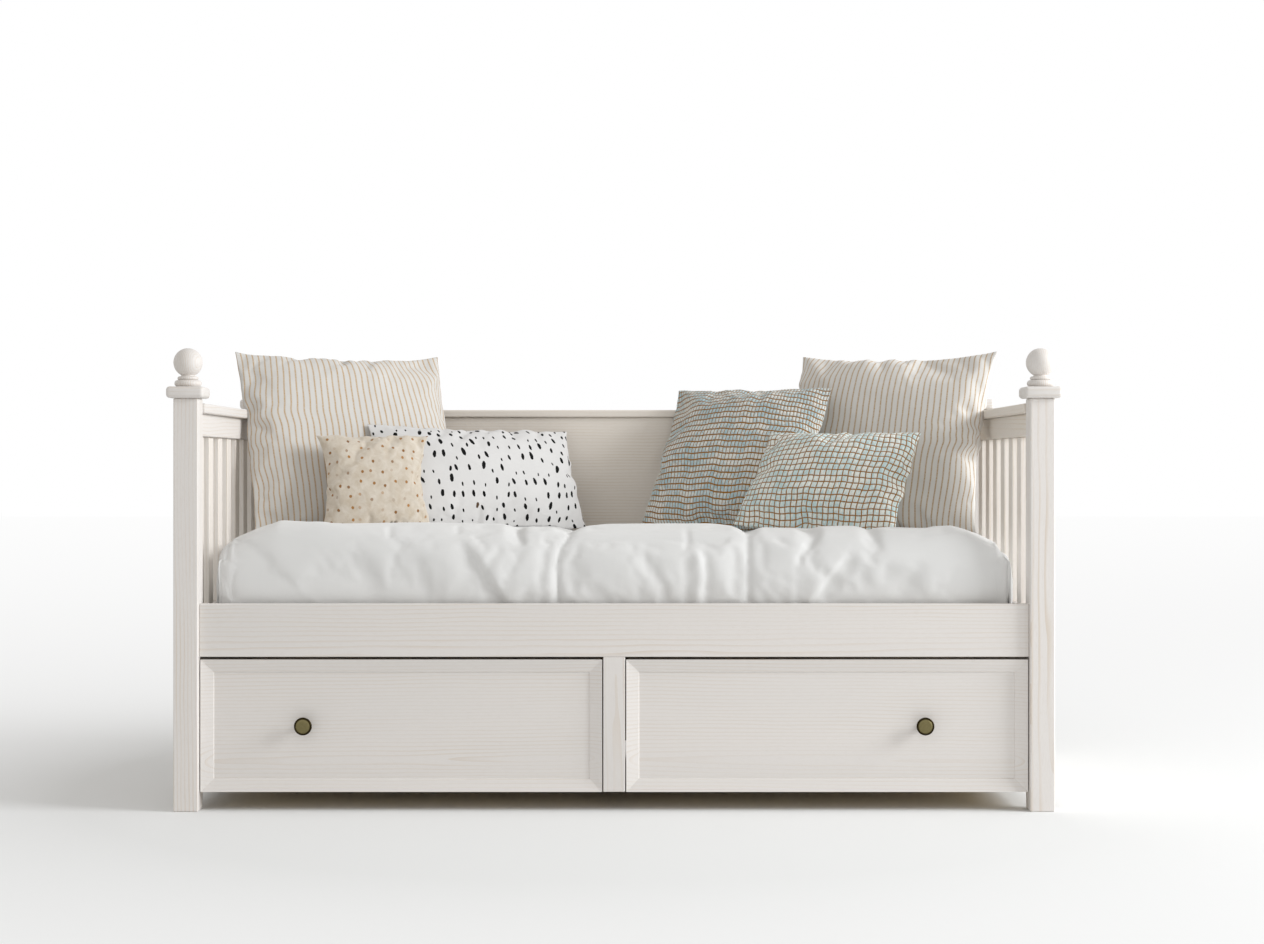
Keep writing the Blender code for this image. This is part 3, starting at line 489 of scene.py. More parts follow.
def aged_brass(name, axis_point):
    """Aged brass: worn bright on its face, with dark patina in its groove and a painted dark reflection round
    its rim.
    """
    made, tree, shader = new_material(name, Metallic=1.0)
    place = add(tree, "ShaderNodeTexCoord").outputs["Object"]
    centred = add(tree, "ShaderNodeVectorMath", {0: place, 1: axis_point}, operation="SUBTRACT")
    flat = add(tree, "ShaderNodeVectorMath", {0: centred, 1: (1, 0, 1)}, operation="MULTIPLY")
    radius = add(tree, "ShaderNodeVectorMath", {0: flat}, operation="LENGTH")
    # Near black past the groove's edge: patina in the groove, and a painted dark reflection on the rim
    patina_and_painted_reflection = add(tree, "ShaderNodeMapRange", {"Value": radius, "From Min": GROOVE_RADIUS - 2 * MM,
                                              "From Max": GROOVE_RADIUS + 1.2 * MM},
                 interpolation_type="SMOOTHSTEP")
    cloud = add(tree, "ShaderNodeTexNoise", {"Vector": place, "Scale": 1 / TARNISH_SPOT, "Detail": 4.0,
                                             "Roughness": 0.65})
    face = add(tree, "ShaderNodeMix", {"Factor": cloud, 6: "827956", 7: "6E6646"}, data_type="RGBA")
    whole = add(tree, "ShaderNodeMix", {"Factor": patina_and_painted_reflection, 6: face, 7: "2C2413"}, data_type="RGBA")
    rough = add(tree, "ShaderNodeMapRange", {"Value": cloud, "To Min": 0.24, "To Max": 0.42})
    bump = add(tree, "ShaderNodeBump", {"Height": cloud, "Strength": 0.2, "Distance": TARNISH_DEPTH})
    feed(shader, {"Base Color": whole, "Roughness": rough, "Normal": bump})
    return made


for end in ("left", "right"):
    low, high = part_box(f"{end}_drawer_knob")
    face = Vector(((low.x + high.x) / 2, low.y + KNOB_LENGTH, (low.z + high.z) / 2))
    knob_mesh = turned(f"{end}_knob", knob_profile())
    knob_mesh.transform(Matrix.Translation(face) @ Matrix.Rotation(math.radians(90), 4, "X"))
    new_piece(f"{end}_knob", knob_mesh, f"{end}_drawer", aged_brass(f"aged_brass_{end}", face),
              [f"{end}_drawer_knob"])
    print(f"{end} knob at", [round(v, 4) for v in face])

# %% [markdown]
# ## Slatted base
# Under the mattress twelve bare pine slats lie across two ledgers, and a screw holds each end. A rule makes
# the whole piece, so a Geometry Nodes tree builds it: a line of points, a slat on each, and a screw at both
# ends of every slat. The count and the sizes are inputs of the tree. The result is turned into a plain mesh.

# %% Build the slatted base
SLAT_COUNT = 12
SLAT_WIDTH = 75 * MM
SLAT_THICKNESS = 18 * MM
LEDGER = (28 * MM, 30 * MM)
SCREW_RADIUS = 4 * MM
SCREW_TOP_SHARE = 0.7
SCREW_HEAD = 0.6 * MM
SCREW_SUNK = 0.4 * MM
SCREW_STEPS = 12
SOCKET_KINDS = {bpy.types.Material: "NodeSocketMaterial", int: "NodeSocketInt", Vector: "NodeSocketVector"}


def tree_inputs(tree, values):
    """Gives a Geometry Nodes tree an input for each value and one output, and returns its input node."""
    for key, value in values.items():
        tree.interface.new_socket(key, in_out="INPUT", socket_type=SOCKET_KINDS[type(value)])
    tree.interface.new_socket("Geometry", in_out="OUTPUT", socket_type="NodeSocketGeometry")
    return tree.nodes.new("NodeGroupInput")


def grown(name, tree, values):
    """Runs a tree with its input values, and gives back the result as a plain mesh."""
    carrier = linked(name, bpy.data.meshes.new(name))
    grow = carrier.modifiers.new("grow", "NODES")
    grow.node_group = tree
    for item in tree.interface.items_tree:
        if item.in_out == "INPUT":
            grow[item.identifier] = values[item.name]
    mesh = plain_mesh(carrier)
    bpy.data.objects.remove(carrier)
    return mesh


base_low, base_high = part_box("slatted_base")
base_size = base_high - base_low
base_middle = (base_low + base_high) / 2
bare_pine = pine("bare_pine_slats", "Y", base_middle, 811, BARE_PINE)
zinc = new_material("zinc_plated_screws", Base_Color="B9B7AE", Roughness=0.35, Metallic=1.0)[0]
values = {"Slats": SLAT_COUNT, "Slat": Vector((SLAT_WIDTH, base_size.y, SLAT_THICKNESS)),
          "Ledger": Vector((base_size.x, *LEDGER)), "Wood": bare_pine, "Metal": zinc}

tree = bpy.data.node_groups.new("slats_on_ledgers", "GeometryNodeTree")
given = tree_inputs(tree, values).outputs
room = (base_size.x - SLAT_COUNT * SLAT_WIDTH) / (SLAT_COUNT + 1)
first = (base_low.x + room + SLAT_WIDTH / 2, base_middle.y, base_high.z - SLAT_THICKNESS / 2)
line = add(tree, "GeometryNodeMeshLine", {"Count": given["Slats"], "Start Location": first,
                                          "Offset": (room + SLAT_WIDTH, 0, 0)})
slat = add(tree, "GeometryNodeMeshCube", {"Size": given["Slat"]})
ledger = add(tree, "GeometryNodeMeshCube", {"Size": given["Ledger"]})
head = add(tree, "GeometryNodeMeshCone", {"Vertices": SCREW_STEPS, "Depth": SCREW_HEAD,
                                          "Radius Top": SCREW_RADIUS * SCREW_TOP_SHARE,
                                          "Radius Bottom": SCREW_RADIUS})
slats = add(tree, "GeometryNodeInstanceOnPoints", {"Points": line, "Instance": slat})
screws = add(tree, "GeometryNodeInstanceOnPoints", {"Points": line, "Instance": head})
wood = add(tree, "GeometryNodeJoinGeometry", {0: slats})
metal = add(tree, "GeometryNodeJoinGeometry")
for side in (-1, 1):
    aside = side * (base_size.y / 2 - LEDGER[0] / 2)
    on_slat = (0, aside, SLAT_THICKNESS / 2 - SCREW_SUNK)
    feed(metal, {0: add(tree, "GeometryNodeTransform", {"Geometry": screws, "Translation": on_slat})})
    under = (0, base_middle.y + aside, base_high.z - SLAT_THICKNESS - LEDGER[1] / 2)
    feed(wood, {0: add(tree, "GeometryNodeTransform", {"Geometry": ledger, "Translation": under})})
pieces = add(tree, "GeometryNodeJoinGeometry")
for made, finish in ((wood, "Wood"), (metal, "Metal")):
    real = add(tree, "GeometryNodeRealizeInstances", {0: made})
    feed(pieces, {0: add(tree, "GeometryNodeSetMaterial", {"Geometry": real, "Material": given[finish]})})
add(tree, "NodeGroupOutput", {0: pieces})
base_mesh = grown("slats_carrier", tree, values)
new_piece("slats_and_ledgers", base_mesh, "frame", None, ["slatted_base"])
print("slatted base:", len(base_mesh.polygons), "faces")

# %% [markdown]
# ## Cloth
# Duvet, mattress and cushions are all cotton or linen, sewn and filled. Real cloth sets the rules here: it
# hardly stretches, it buckles where a seam holds it shorter than the cloth beside it, and the filling pushes
# it outwards. Blender's Cloth does this with pressure. The cloth beside a seam is let grow by a few per
# cent, the seam is not, and the small puckers of a sewn edge come by themselves.

# %% Points of a mesh as arrays


def rows_of(items, fact, width=3, kind=float):
    """A fact about each of a mesh's points or corners, as rows of numbers."""
    numbers = np.zeros(len(items) * width, kind)
    items.foreach_get(fact, numbers)
    return numbers.reshape(-1, width)


def put_back(mesh, points):
    """Moves a mesh's points."""
    mesh.vertices.foreach_set("co", np.asarray(points, np.float32).ravel())
    mesh.update()


def lay_flat(mesh, flat):
    """Keeps each point's place on the flat cloth in a UV map."""
    corners = rows_of(mesh.loops, "vertex_index", 1, int).ravel()
    mesh.uv_layers.new(name="flat_cloth").data.foreach_set("uv", flat[corners].astype(np.float32).ravel())


def surface_tree(mesh):
    """A search tree of a mesh for nearest points and rays."""
    return BVHTree.FromPolygons([v.co for v in mesh.vertices], [tuple(p.vertices) for p in mesh.polygons])


# %% Filling and finishing of sewn pieces
CLOTH_QUALITY = 10
CLOTH_TENSION = 600.0
CLOTH_COMPRESSION = 30.0
CLOTH_BENDING = 0.05


def evaluated_mesh(thing):
    """The mesh with its modifiers applied, which replaces the old one."""
    mesh = plain_mesh(thing)
    thing.modifiers.clear()
    thing.data = mesh
    return mesh


def fill(thing, frames, pressure, growth, held, pinned, tension=CLOTH_TENSION, bending=CLOTH_BENDING):
    """Fills a sewn case with Cloth pressure and keeps the result.

    Growth is how much longer the free cloth and the seams are than their start, held is 1 on a seam and 0 on
    free cloth, and pinned points stay where they are."""
    group = thing.vertex_groups.new(name="seams")
    for weight in np.unique(held):
        group.add(np.flatnonzero(held == weight).tolist(), float(weight), "REPLACE")
    pins = thing.vertex_groups.new(name="pins")
    pins.add(np.flatnonzero(pinned).tolist(), 1.0, "REPLACE")
    cloth = thing.modifiers.new("filling", "CLOTH")
    cloth.collision_settings.use_collision = False
    cloth.point_cache.frame_end = frames
    rules = cloth.settings
    rules.quality = CLOTH_QUALITY
    rules.tension_stiffness = tension
    rules.compression_stiffness = CLOTH_COMPRESSION
    rules.shear_stiffness = tension / 3
    rules.bending_stiffness = bending
    rules.use_pressure = True
    rules.uniform_pressure_force = pressure
    rules.shrink_min, rules.shrink_max = -growth[0], -growth[1]
    rules.vertex_group_shrink = "seams"
    rules.vertex_group_mass = "pins"
    rules.effector_weights.gravity = 0
    for step in range(1, frames + 1):
        scene.frame_set(step)
    evaluated_mesh(thing)
    scene.frame_set(1)
    thing.vertex_groups.clear()


def subdivide(thing):
    """Rounds a piece's mesh by one step of subdivision."""
    finer = thing.modifiers.new("finer", "SUBSURF")
    finer.levels = finer.render_levels = 1
    mesh = evaluated_mesh(thing)
    mesh.shade_smooth()
    return mesh


# %% [markdown]
# ## Cotton, ticking and linen
# Plain weave has threads about 0.4 mm apart, too fine for this view, so a soft 2 mm weave stands for it in
# the bump, under larger and softer unevenness. Cloth is rough and a little fuzzy: sheen lights its turning
# edges, and the roughness is near 0.9.

# %% The plain cloths
WEAVE_PITCH = 2 * MM
WEAVE_DEPTH = 0.15 * MM
SLUB_LENGTH = 11.111 * MM
SLUB_DEPTH = 0.5 * MM
CLOTH_SHEEN = 0.25


def weave(tree, flat):
    """Height of a plain weave, over and under along both directions of the cloth."""
    apart = add(tree, "ShaderNodeSeparateXYZ", {0: flat}).outputs
    waves = []
    for axis in (0, 1):
        angle = add(tree, "ShaderNodeMath", {0: apart[axis], 1: math.tau / WEAVE_PITCH}, operation="MULTIPLY")
        waves.append(add(tree, "ShaderNodeMath", {0: angle}, operation="SINE"))
    return add(tree, "ShaderNodeMath", {0: waves[0], 1: waves[1]}, operation="MULTIPLY")


def cloth_start(name):
    """A cloth material, and the position on the flat cloth in metres."""
    made, tree, shader = new_material(name, Roughness=0.9, Sheen_Weight=CLOTH_SHEEN, Sheen_Roughness=0.5,
                                      Specular_IOR_Level=0.2)
    return made, tree, shader, add(tree, "ShaderNodeUVMap", uv_map="flat_cloth")


def cloth_end(tree, shader, flat, final, slub_depth=SLUB_DEPTH, relief=None):
    """Gives a cloth its colour, and its thicker threads, its weave and a height of its own as a bump."""
    slubs = add(tree, "ShaderNodeTexNoise", {"Vector": flat, "Scale": 1 / SLUB_LENGTH, "Detail": 3.0,
                                             "Roughness": 0.6})
    last = add(tree, "ShaderNodeBump", {"Height": slubs, "Strength": 0.5, "Distance": slub_depth})
    last = add(tree, "ShaderNodeBump", {"Height": weave(tree, flat), "Strength": 0.5, "Distance": WEAVE_DEPTH,
                                        "Normal": last})
    if relief is not None:
        last = add(tree, "ShaderNodeBump", {"Height": relief, "Strength": 1.0, "Distance": 1.0,
                                            "Normal": last})
    feed(shader, {"Base Color": final, "Normal": last})


def plain_cloth(name, cloud, light, dark):
    """One woven colour with slight, broad variation."""
    made, tree, shader, flat = cloth_start(name)
    cloth_end(tree, shader, flat, clouded(tree, flat, cloud, light, dark))
    return made


white_cotton = plain_cloth("white_cotton", 166.67 * MM, "E8E8E7", "E2E2E1")
ticking = plain_cloth("mattress_ticking", 50 * MM, "E4E3DD", "D9D7CF")
print("cloths:", white_cotton.name, "and", ticking.name)

# %% [markdown]
# ## Duvet
# One white duvet covers the mattress and is tucked in between it and the frame. It is sewn through along two
# lines, so the filling makes three puffs, and where the front hangs over the edge it falls in soft slanting
# folds. Its form comes from the frame's own solid. A finer grid of flat cloth is wrapped round that solid,
# smoothed, given the seams and the main folds one by one, and then filled with Cloth, which adds the
# wrinkles that nobody could place by hand.

# %% Wrap a fine grid round the duvet's form
# The cells are finer at the front, where the folds are
CELL_ACROSS = 11 * MM
CELL_FRONT = 9 * MM
CELL_BEHIND = 18 * MM
FRONT_SPAN = 0.34
SHOULDER = 60 * MM
WRAP_ROOM = 14 * MM
ROUND_PASSES = 12
DEPTH_PASSES = 10
CAST_REACH = 0.08
HEM_ROOM = 3 * MM

duvet_low, duvet_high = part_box("duvet")
duvet_form = surface_tree(NODES["duvet"].data)
duvet_middle = (duvet_low + duvet_high) / 2
duvet_half = (duvet_high - duvet_low) / 2
DROP = duvet_high.z - duvet_low.z
half_a, half_b = duvet_half.x + DROP, duvet_half.y + DROP
front_edge = FRONT_SPAN - half_b
columns = round(2 * half_a / CELL_ACROSS)
flat_rows = np.concatenate((np.linspace(-half_b, front_edge, round(FRONT_SPAN / CELL_FRONT))[:-1],
                            np.linspace(front_edge, half_b, round((half_b - front_edge) / CELL_BEHIND))))
rows = len(flat_rows) - 1
flat_x, flat_y = np.meshgrid(np.linspace(-half_a, half_a, columns + 1), flat_rows, indexing="xy")


def wrapped(a, b):
    """A point of the flat cloth, wrapped over the top and down the sides of a box with round corners."""
    inner = (duvet_half.x - SHOULDER, duvet_half.y - SHOULDER)
    past = (max(abs(a) - inner[0], 0), max(abs(b) - inner[1], 0))
    length = max(past)
    angle = math.atan2(past[1], past[0])
    bend = min(length / SHOULDER, math.pi / 2)
    out = SHOULDER * math.sin(bend) + (WRAP_ROOM if length > 0 else 0)
    x = math.copysign(min(abs(a), inner[0]) + out * math.cos(angle) * (past[0] > 0), a)
    y = math.copysign(min(abs(b), inner[1]) + out * math.sin(angle) * (past[1] > 0), b)
    turned_down = SHOULDER * (1 - math.cos(bend))
    left = SHOULDER + DROP - SHOULDER * math.pi / 2
    straight = max(length - SHOULDER * math.pi / 2, 0) / left * (DROP + WRAP_ROOM - SHOULDER)
    return Vector((duvet_middle.x + x, duvet_middle.y + y, duvet_high.z + WRAP_ROOM - turned_down - straight))


def smoothed(grid, passes):
    """Moves each inner value of a grid halfway to the middle of its four neighbours, again and again."""
    for _ in range(passes):
        around = (grid[:-2, 1:-1] + grid[2:, 1:-1] + grid[1:-1, :-2] + grid[1:-1, 2:]) / 4
        grid[1:-1, 1:-1] += (around - grid[1:-1, 1:-1]) / 2
    return grid


def grid_normals(grid):
    """Unit normals of a grid of points, outwards and up."""
    normal = np.cross(np.gradient(grid, axis=1), np.gradient(grid, axis=0))
    return normal / np.maximum(np.linalg.norm(normal, axis=-1, keepdims=True), 1e-12)


def depth_of_form(grid, normals):
    """How far under each point of a grid the duvet's form lies, along the grid's own normals."""
    depths = []
    for point, normal in zip(grid.reshape(-1, 3), normals.reshape(-1, 3)):
        spot, way = Vector(point), Vector(normal)
        spot.z = max(spot.z, duvet_low.z + HEM_ROOM)
        hit = duvet_form.ray_cast(spot + way * CAST_REACH, -way, 2 * CAST_REACH)[0]
        if hit is None:
            hit = duvet_form.find_nearest(spot)[0]
        depths.append((hit - spot).dot(way))
    return np.array(depths).reshape(grid.shape[:2])


wrap = np.array([wrapped(a, b) for a, b in zip(flat_x.ravel(), flat_y.ravel())])
wrap = smoothed(wrap.reshape(rows + 1, columns + 1, 3), ROUND_PASSES)
normals = grid_normals(wrap)
depth = smoothed(depth_of_form(wrap, normals), DEPTH_PASSES)
lid = wrap + normals * depth[..., None]
print("duvet grid", lid.shape, "depth", round(depth.min(), 4), "to", round(depth.max(), 4))

# %% [markdown]
# The filling stands highest along the front edge, where the cloth turns down, and it dips where the cloth is
# gathered. That line is read off the picture and written as heights along the bed. The two sewn lines are
# broad valleys here. Their stitches come later, on the finer cloth.

# %% The front roll and the valleys of the seams
CREST = (
    (-0.960, 0.590), (-0.930, 0.615), (-0.896, 0.635), (-0.849, 0.655), (-0.796, 0.672), (-0.699, 0.6745),
    (-0.612, 0.670), (-0.520, 0.6665), (-0.442, 0.665), (-0.322, 0.661), (-0.262, 0.662), (-0.234, 0.652),
    (-0.205, 0.662), (-0.150, 0.661), (-0.108, 0.650), (-0.070, 0.659), (0.061, 0.660), (0.280, 0.661),
    (0.317, 0.649), (0.350, 0.660), (0.430, 0.658), (0.466, 0.643), (0.498, 0.657), (0.580, 0.658),
    (0.609, 0.648), (0.640, 0.657), (0.697, 0.660), (0.762, 0.662), (0.803, 0.659), (0.844, 0.648),
    (0.872, 0.637), (0.896, 0.622), (0.913, 0.598), (0.960, 0.560),
)
CREST_Y = -0.375
CREST_WIDTH = 0.075
# The roll rises from its foot over this height
CREST_FOOT = 0.50
CREST_SPAN = 0.16
SEAMS = (
    [(-0.107, 0.664), (-0.108, 0.640), (-0.128, 0.610), (-0.1345, 0.572), (-0.133, 0.515), (-0.134, 0.455)],
    [(0.3165, 0.664), (0.3165, 0.455)],
)
# Depth and width of a seam's valley
VALLEY = (3.2 * MM, 11 * MM)


def seam_gap(x, z, points):
    """Distance from a seam, which runs down the front as a line of points."""
    seam_x, seam_z = np.array(points[::-1]).T
    return np.abs(x - np.interp(z, seam_z, seam_x))


x, y, z = lid[..., 0], lid[..., 1], lid[..., 2]
column_top = np.where(np.abs(y - CREST_Y) < CREST_WIDTH, z, 0).max(axis=0)
crest_x, crest_z = np.array(CREST).T
lift = np.where(column_top > 0, np.interp(x[rows // 2], crest_x, crest_z) - column_top, 0)
on_top = np.clip((z - CREST_FOOT) / CREST_SPAN, 0, 1)
on_top = on_top ** 2 * (3 - 2 * on_top)
lid[..., 2] += lift * np.exp(-((y - CREST_Y) / CREST_WIDTH) ** 2) * on_top
seam_share = np.max([np.exp(-(seam_gap(x, z, points) / VALLEY[1]) ** 2) for points in SEAMS], axis=0)
lid = lid - grid_normals(lid) * (VALLEY[0] * seam_share * (z > duvet_low.z + HEM_ROOM))[..., None]
print("front roll lifted by", round(lift.min() / MM), "to", round(lift.max() / MM), "mm")

# %% Fill the duvet
DUVET_FRAMES = 10
DUVET_PRESSURE = 1.2
DUVET_TENSION = 200
DUVET_BENDING = 0.1
DUVET_GROWTH = (0.012, 0.0)
SEWN_SHARE = 0.7
# What lies under the cover lets it move inwards by the first, and outwards by the second at most
DUVET_ROOM = (2 * MM, 12 * MM)

order = np.arange((rows + 1) * (columns + 1)).reshape(rows + 1, columns + 1)
faces = np.stack([order[:-1, :-1], order[:-1, 1:], order[1:, 1:], order[1:, :-1]], axis=-1).reshape(-1, 4)
duvet_mesh = bpy.data.meshes.new("duvet_cover")
duvet_mesh.from_pydata(lid.reshape(-1, 3).tolist(), [], faces.tolist())
lay_flat(duvet_mesh, np.stack([flat_x.ravel(), flat_y.ravel()], axis=1))
duvet_cover = new_piece("duvet_cover", duvet_mesh, "frame", white_cotton, ["duvet"])
fixed = seam_share > SEWN_SHARE
fixed[[0, 1, -2, -1], :] = True
fixed[:, [0, 1, -2, -1]] = True
fixed = fixed.ravel()
before = rows_of(duvet_mesh.vertices, "co")
fill(duvet_cover, DUVET_FRAMES, DUVET_PRESSURE, DUVET_GROWTH, fixed.astype(float), fixed, DUVET_TENSION,
     DUVET_BENDING)
step = rows_of(duvet_cover.data.vertices, "co") - before
outward = grid_normals(lid).reshape(-1, 3)
rise = (step * outward).sum(axis=1)
aside = step - rise[:, None] * outward
length = np.linalg.norm(aside, axis=1)
aside *= (np.minimum(length, DUVET_ROOM[1]) / np.maximum(length, 1e-9))[:, None]
rise_kept = np.clip(rise, -DUVET_ROOM[0], DUVET_ROOM[1])
put_back(duvet_cover.data, before + aside + outward * rise_kept[:, None])
print("filling moved the cover from", round(rise.min() / MM, 1), "to", round(rise.max() / MM, 1), "mm")

# %% [markdown]
# The folds are written as short lines on the front, with a depth and a width on either side. A positive
# depth draws the cloth in, as a crease does, and a negative one lifts it as a roll. A crease is steep on one
# side and soft on the other, and each line fades out at its ends. They are pressed into the cloth once it is
# subdivided, because its cells are small enough for them then.

# %% Creases, rolls and stitched lines
# Each row: points (x, z) on the front, then the depth and the widths on the left and on the right in mm
FOLDS = (
    ([(-0.368, 0.632), (-0.333, 0.579), (-0.307, 0.539), (-0.277, 0.497), (-0.266, 0.470)], 9, 30, 12),
    ([(-0.333, 0.622), (-0.298, 0.570), (-0.262, 0.515), (-0.240, 0.470)], -4, 14, 36),
    ([(0.060, 0.602), (0.079, 0.579), (0.115, 0.526), (0.131, 0.470)], 4.5, 24, 12),
    ([(0.171, 0.664), (0.174, 0.631), (0.166, 0.605)], 3, 8, 8),
    ([(0.176, 0.604), (0.172, 0.540), (0.170, 0.470)], 3, 15, 10),
    ([(0.1975, 0.616), (0.199, 0.560), (0.194, 0.470)], -3.5, 12, 12),
    ([(0.200, 0.618), (0.214, 0.591), (0.220, 0.546), (0.213, 0.470)], 4.5, 8, 15),
    ([(0.488, 0.654), (0.466, 0.6245), (0.440, 0.595), (0.436, 0.570)], 5, 10, 9),
    ([(0.545, 0.608), (0.505, 0.560), (0.465, 0.505), (0.450, 0.470)], -4, 30, 14),
    ([(0.568, 0.610), (0.530, 0.560), (0.500, 0.522), (0.470, 0.470)], 5, 11, 30),
    ([(0.734, 0.584), (0.697, 0.542), (0.655, 0.495)], 4, 18, 24),
    ([(-0.232, 0.664), (-0.226, 0.640), (-0.212, 0.618)], 4, 9, 9),
    ([(0.609, 0.664), (0.613, 0.640), (0.630, 0.608)], 4, 9, 12),
    ([(-0.537, 0.668), (-0.530, 0.636)], 3, 8, 10),
    ([(-0.378, 0.668), (-0.371, 0.645)], 3, 7, 10),
    ([(-0.153, 0.570), (-0.150, 0.470)], -2, 18, 9),
    ([(-0.640, 0.610), (-0.590, 0.560), (-0.560, 0.480)], 3, 36, 28),
    ([(-0.480, 0.612), (-0.455, 0.540), (-0.425, 0.480)], 3, 30, 24),
)
# A fold keeps this share of its depth at its ends, and grows over about this share of its length
FOLD_END_SHARE = 0.15
FADE_SHARE = 0.25
# The folds start this far in front of the bed's middle, and are whole this much further to the front
FRONT_START = 0.10
FRONT_RUN = 0.22
# Depth and width of a stitched line
STITCH = (3.2 * MM, 3.2 * MM)
SKIN = 2.5 * MM
MATTRESS_ROUND = 32 * MM
FAR_AWAY = 9.0


def near_line(x, z, points):
    """Distance of points from a line, their share of the way along it, and 1 right of it or 0 left of it."""
    nearest = np.full(x.shape, FAR_AWAY)
    share, right = np.zeros(x.shape), np.zeros(x.shape)
    for index, ((x0, z0), (x1, z1)) in enumerate(zip(points, points[1:])):
        dx, dz = x1 - x0, z1 - z0
        t = np.clip(((x - x0) * dx + (z - z0) * dz) / (dx * dx + dz * dz), 0, 1)
        gap = np.hypot(x - x0 - t * dx, z - z0 - t * dz)
        closer = gap < nearest
        nearest = np.where(closer, gap, nearest)
        share = np.where(closer, (index + t) / (len(points) - 1), share)
        right = np.where(closer, (z - z0) * dx - (x - x0) * dz > 0, right)
    return nearest, share, right


mesh = subdivide(duvet_cover)
points_now = rows_of(mesh.vertices, "co")
x, y, z = points_now.T
frontal = np.clip((duvet_middle.y - FRONT_START - y) / FRONT_RUN, 0, 1)
relief = np.zeros(len(x))
for points, drawn_in, left, right in FOLDS:
    gap, share, on_right = near_line(x, z, points)
    fading = np.clip(np.minimum(share, 1 - share) / FADE_SHARE + FOLD_END_SHARE, 0, 1)
    relief -= drawn_in * MM * np.exp(-(gap / (np.where(on_right, right, left) * MM)) ** 2) * fading * frontal
for points in SEAMS:
    relief -= STITCH[0] * np.exp(-(seam_gap(x, z, points) / STITCH[1]) ** 2) * (z > duvet_low.z + HEM_ROOM)
points_now += rows_of(mesh.vertices, "normal") * relief[:, None]
# The deepest creases stop just short of the mattress, a block with round edges
mattress_low, mattress_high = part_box("mattress")
centre = (mattress_high + mattress_low) / 2
half = (mattress_high - mattress_low) / 2
offset = points_now - np.array(centre)
past = np.abs(offset) - (np.array(half) - MATTRESS_ROUND)
past_out = np.maximum(past, 0)
reach = np.linalg.norm(past_out, axis=1)
gap = reach - MATTRESS_ROUND + np.where(reach == 0, past.max(axis=1), 0)
inside = np.flatnonzero((gap < SKIN) & (reach > 0))
way = np.sign(offset[inside]) * past_out[inside] / reach[inside, None]
points_now[inside] += way * (SKIN - gap[inside])[:, None]
put_back(mesh, points_now)
duvet_skin = surface_tree(mesh)
print(len(inside), "points of the cover kept off the mattress")
print("folds from", round(relief.min() / MM, 1), "to", round(relief.max() / MM, 1), "mm")

# %% [markdown]
# The cover is still one open skin. Its hem is turned in by a few millimetres and a plain lining closes it
# over the mattress, where nobody looks, with few faces.

# %% Close the duvet with a lining
LINING_ROOM = 1 * MM
LINING_TURNS = [math.radians(degrees) for degrees in (0, 30, 60, 90)]

shape = bmesh.new()
shape.from_mesh(duvet_cover.data)
rim = [edge for edge in shape.edges if edge.is_boundary]
# The lining goes up the mattress and over its round edge: rows of height and distance in from its side
arm = MATTRESS_ROUND + LINING_ROOM
rows_up = [(duvet_low.z, 0)]
for angle in LINING_TURNS:
    rows_up.append((mattress_high.z - MATTRESS_ROUND + arm * math.sin(angle), arm * (1 - math.cos(angle))))
for level, inset in rows_up:
    extruded = bmesh.ops.extrude_edge_only(shape, edges=rim)["geom"]
    for point in (g for g in extruded if isinstance(g, bmesh.types.BMVert)):
        for axis in (0, 1):
            inner = half[axis] + LINING_ROOM - inset
            point.co[axis] = centre[axis] + min(max(point.co[axis] - centre[axis], -inner), inner)
        point.co.z = level
    rim = [g for g in extruded if isinstance(g, bmesh.types.BMEdge)]
bmesh.ops.contextual_create(shape, geom=rim)
bmesh.ops.recalc_face_normals(shape, faces=shape.faces)
# The faces now agree. A volume below zero tells that they all look inwards
if shape.calc_volume(signed=True) < 0:
    bmesh.ops.reverse_faces(shape, faces=shape.faces)
shape.to_mesh(duvet_cover.data)
shape.free()
duvet_cover.data.shade_smooth()
print("duvet:", len(duvet_cover.data.polygons), "faces")

# %% [markdown]
# ## Mattress
# The mattress is a foam block in ticking, with piping round its upper and lower edges. Only its lower part
# can be seen, from below or behind, but in the frame it carries everything. It is a block with well rounded
# edges, and the piping is a thin tube along each edge.

# %% Make the mattress
PIPING = 4 * MM
ROUND_SEGMENTS = 8
PIPING_TURNS = range(0, 91, 10)

edge_room = Vector((PIPING, PIPING, 0))
block = rounded_board("mattress_block", mattress_low + edge_room, mattress_high - edge_room, MATTRESS_ROUND,
                      ROUND_SEGMENTS)
block_points = rows_of(block.vertices, "co")
lay_flat(block, block_points[:, :2] + block_points[:, 2:])
mattress = new_piece("foam_mattress", block, "frame", ticking, ["mattress"])
arm = MATTRESS_ROUND - PIPING
for label, level in (("lower", mattress_low.z + MATTRESS_ROUND), ("upper", mattress_high.z - MATTRESS_ROUND)):
    ring_points = []
    for quarter, (sx, sy) in enumerate(((1, 1), (-1, 1), (-1, -1), (1, -1))):
        corner = (centre.x + sx * (half.x - MATTRESS_ROUND), centre.y + sy * (half.y - MATTRESS_ROUND))
        for degrees in PIPING_TURNS:
            angle = math.radians(90 * quarter + degrees)
            ring_points.append((corner[0] + arm * math.cos(angle), corner[1] + arm * math.sin(angle),
                                level, 1))
    piping = bpy.data.curves.new(f"piping_{label}", "CURVE")
    piping.dimensions = "3D"
    piping.bevel_depth = PIPING / 2
    piping.bevel_resolution = 2
    spline = piping.splines.new("POLY")
    spline.points.add(len(ring_points) - 1)
    spline.points.foreach_set("co", np.ravel(ring_points).astype(np.float32))
    spline.use_cyclic_u = True
    tube = linked(f"piping_{label}", piping)
    tube_mesh = plain_mesh(tube)
    bpy.data.objects.remove(tube)
    new_piece(f"mattress_piping_{label}", tube_mesh, "frame", ticking, ["mattress"])
print("mattress", [round(2 * v, 3) for v in half], "m")

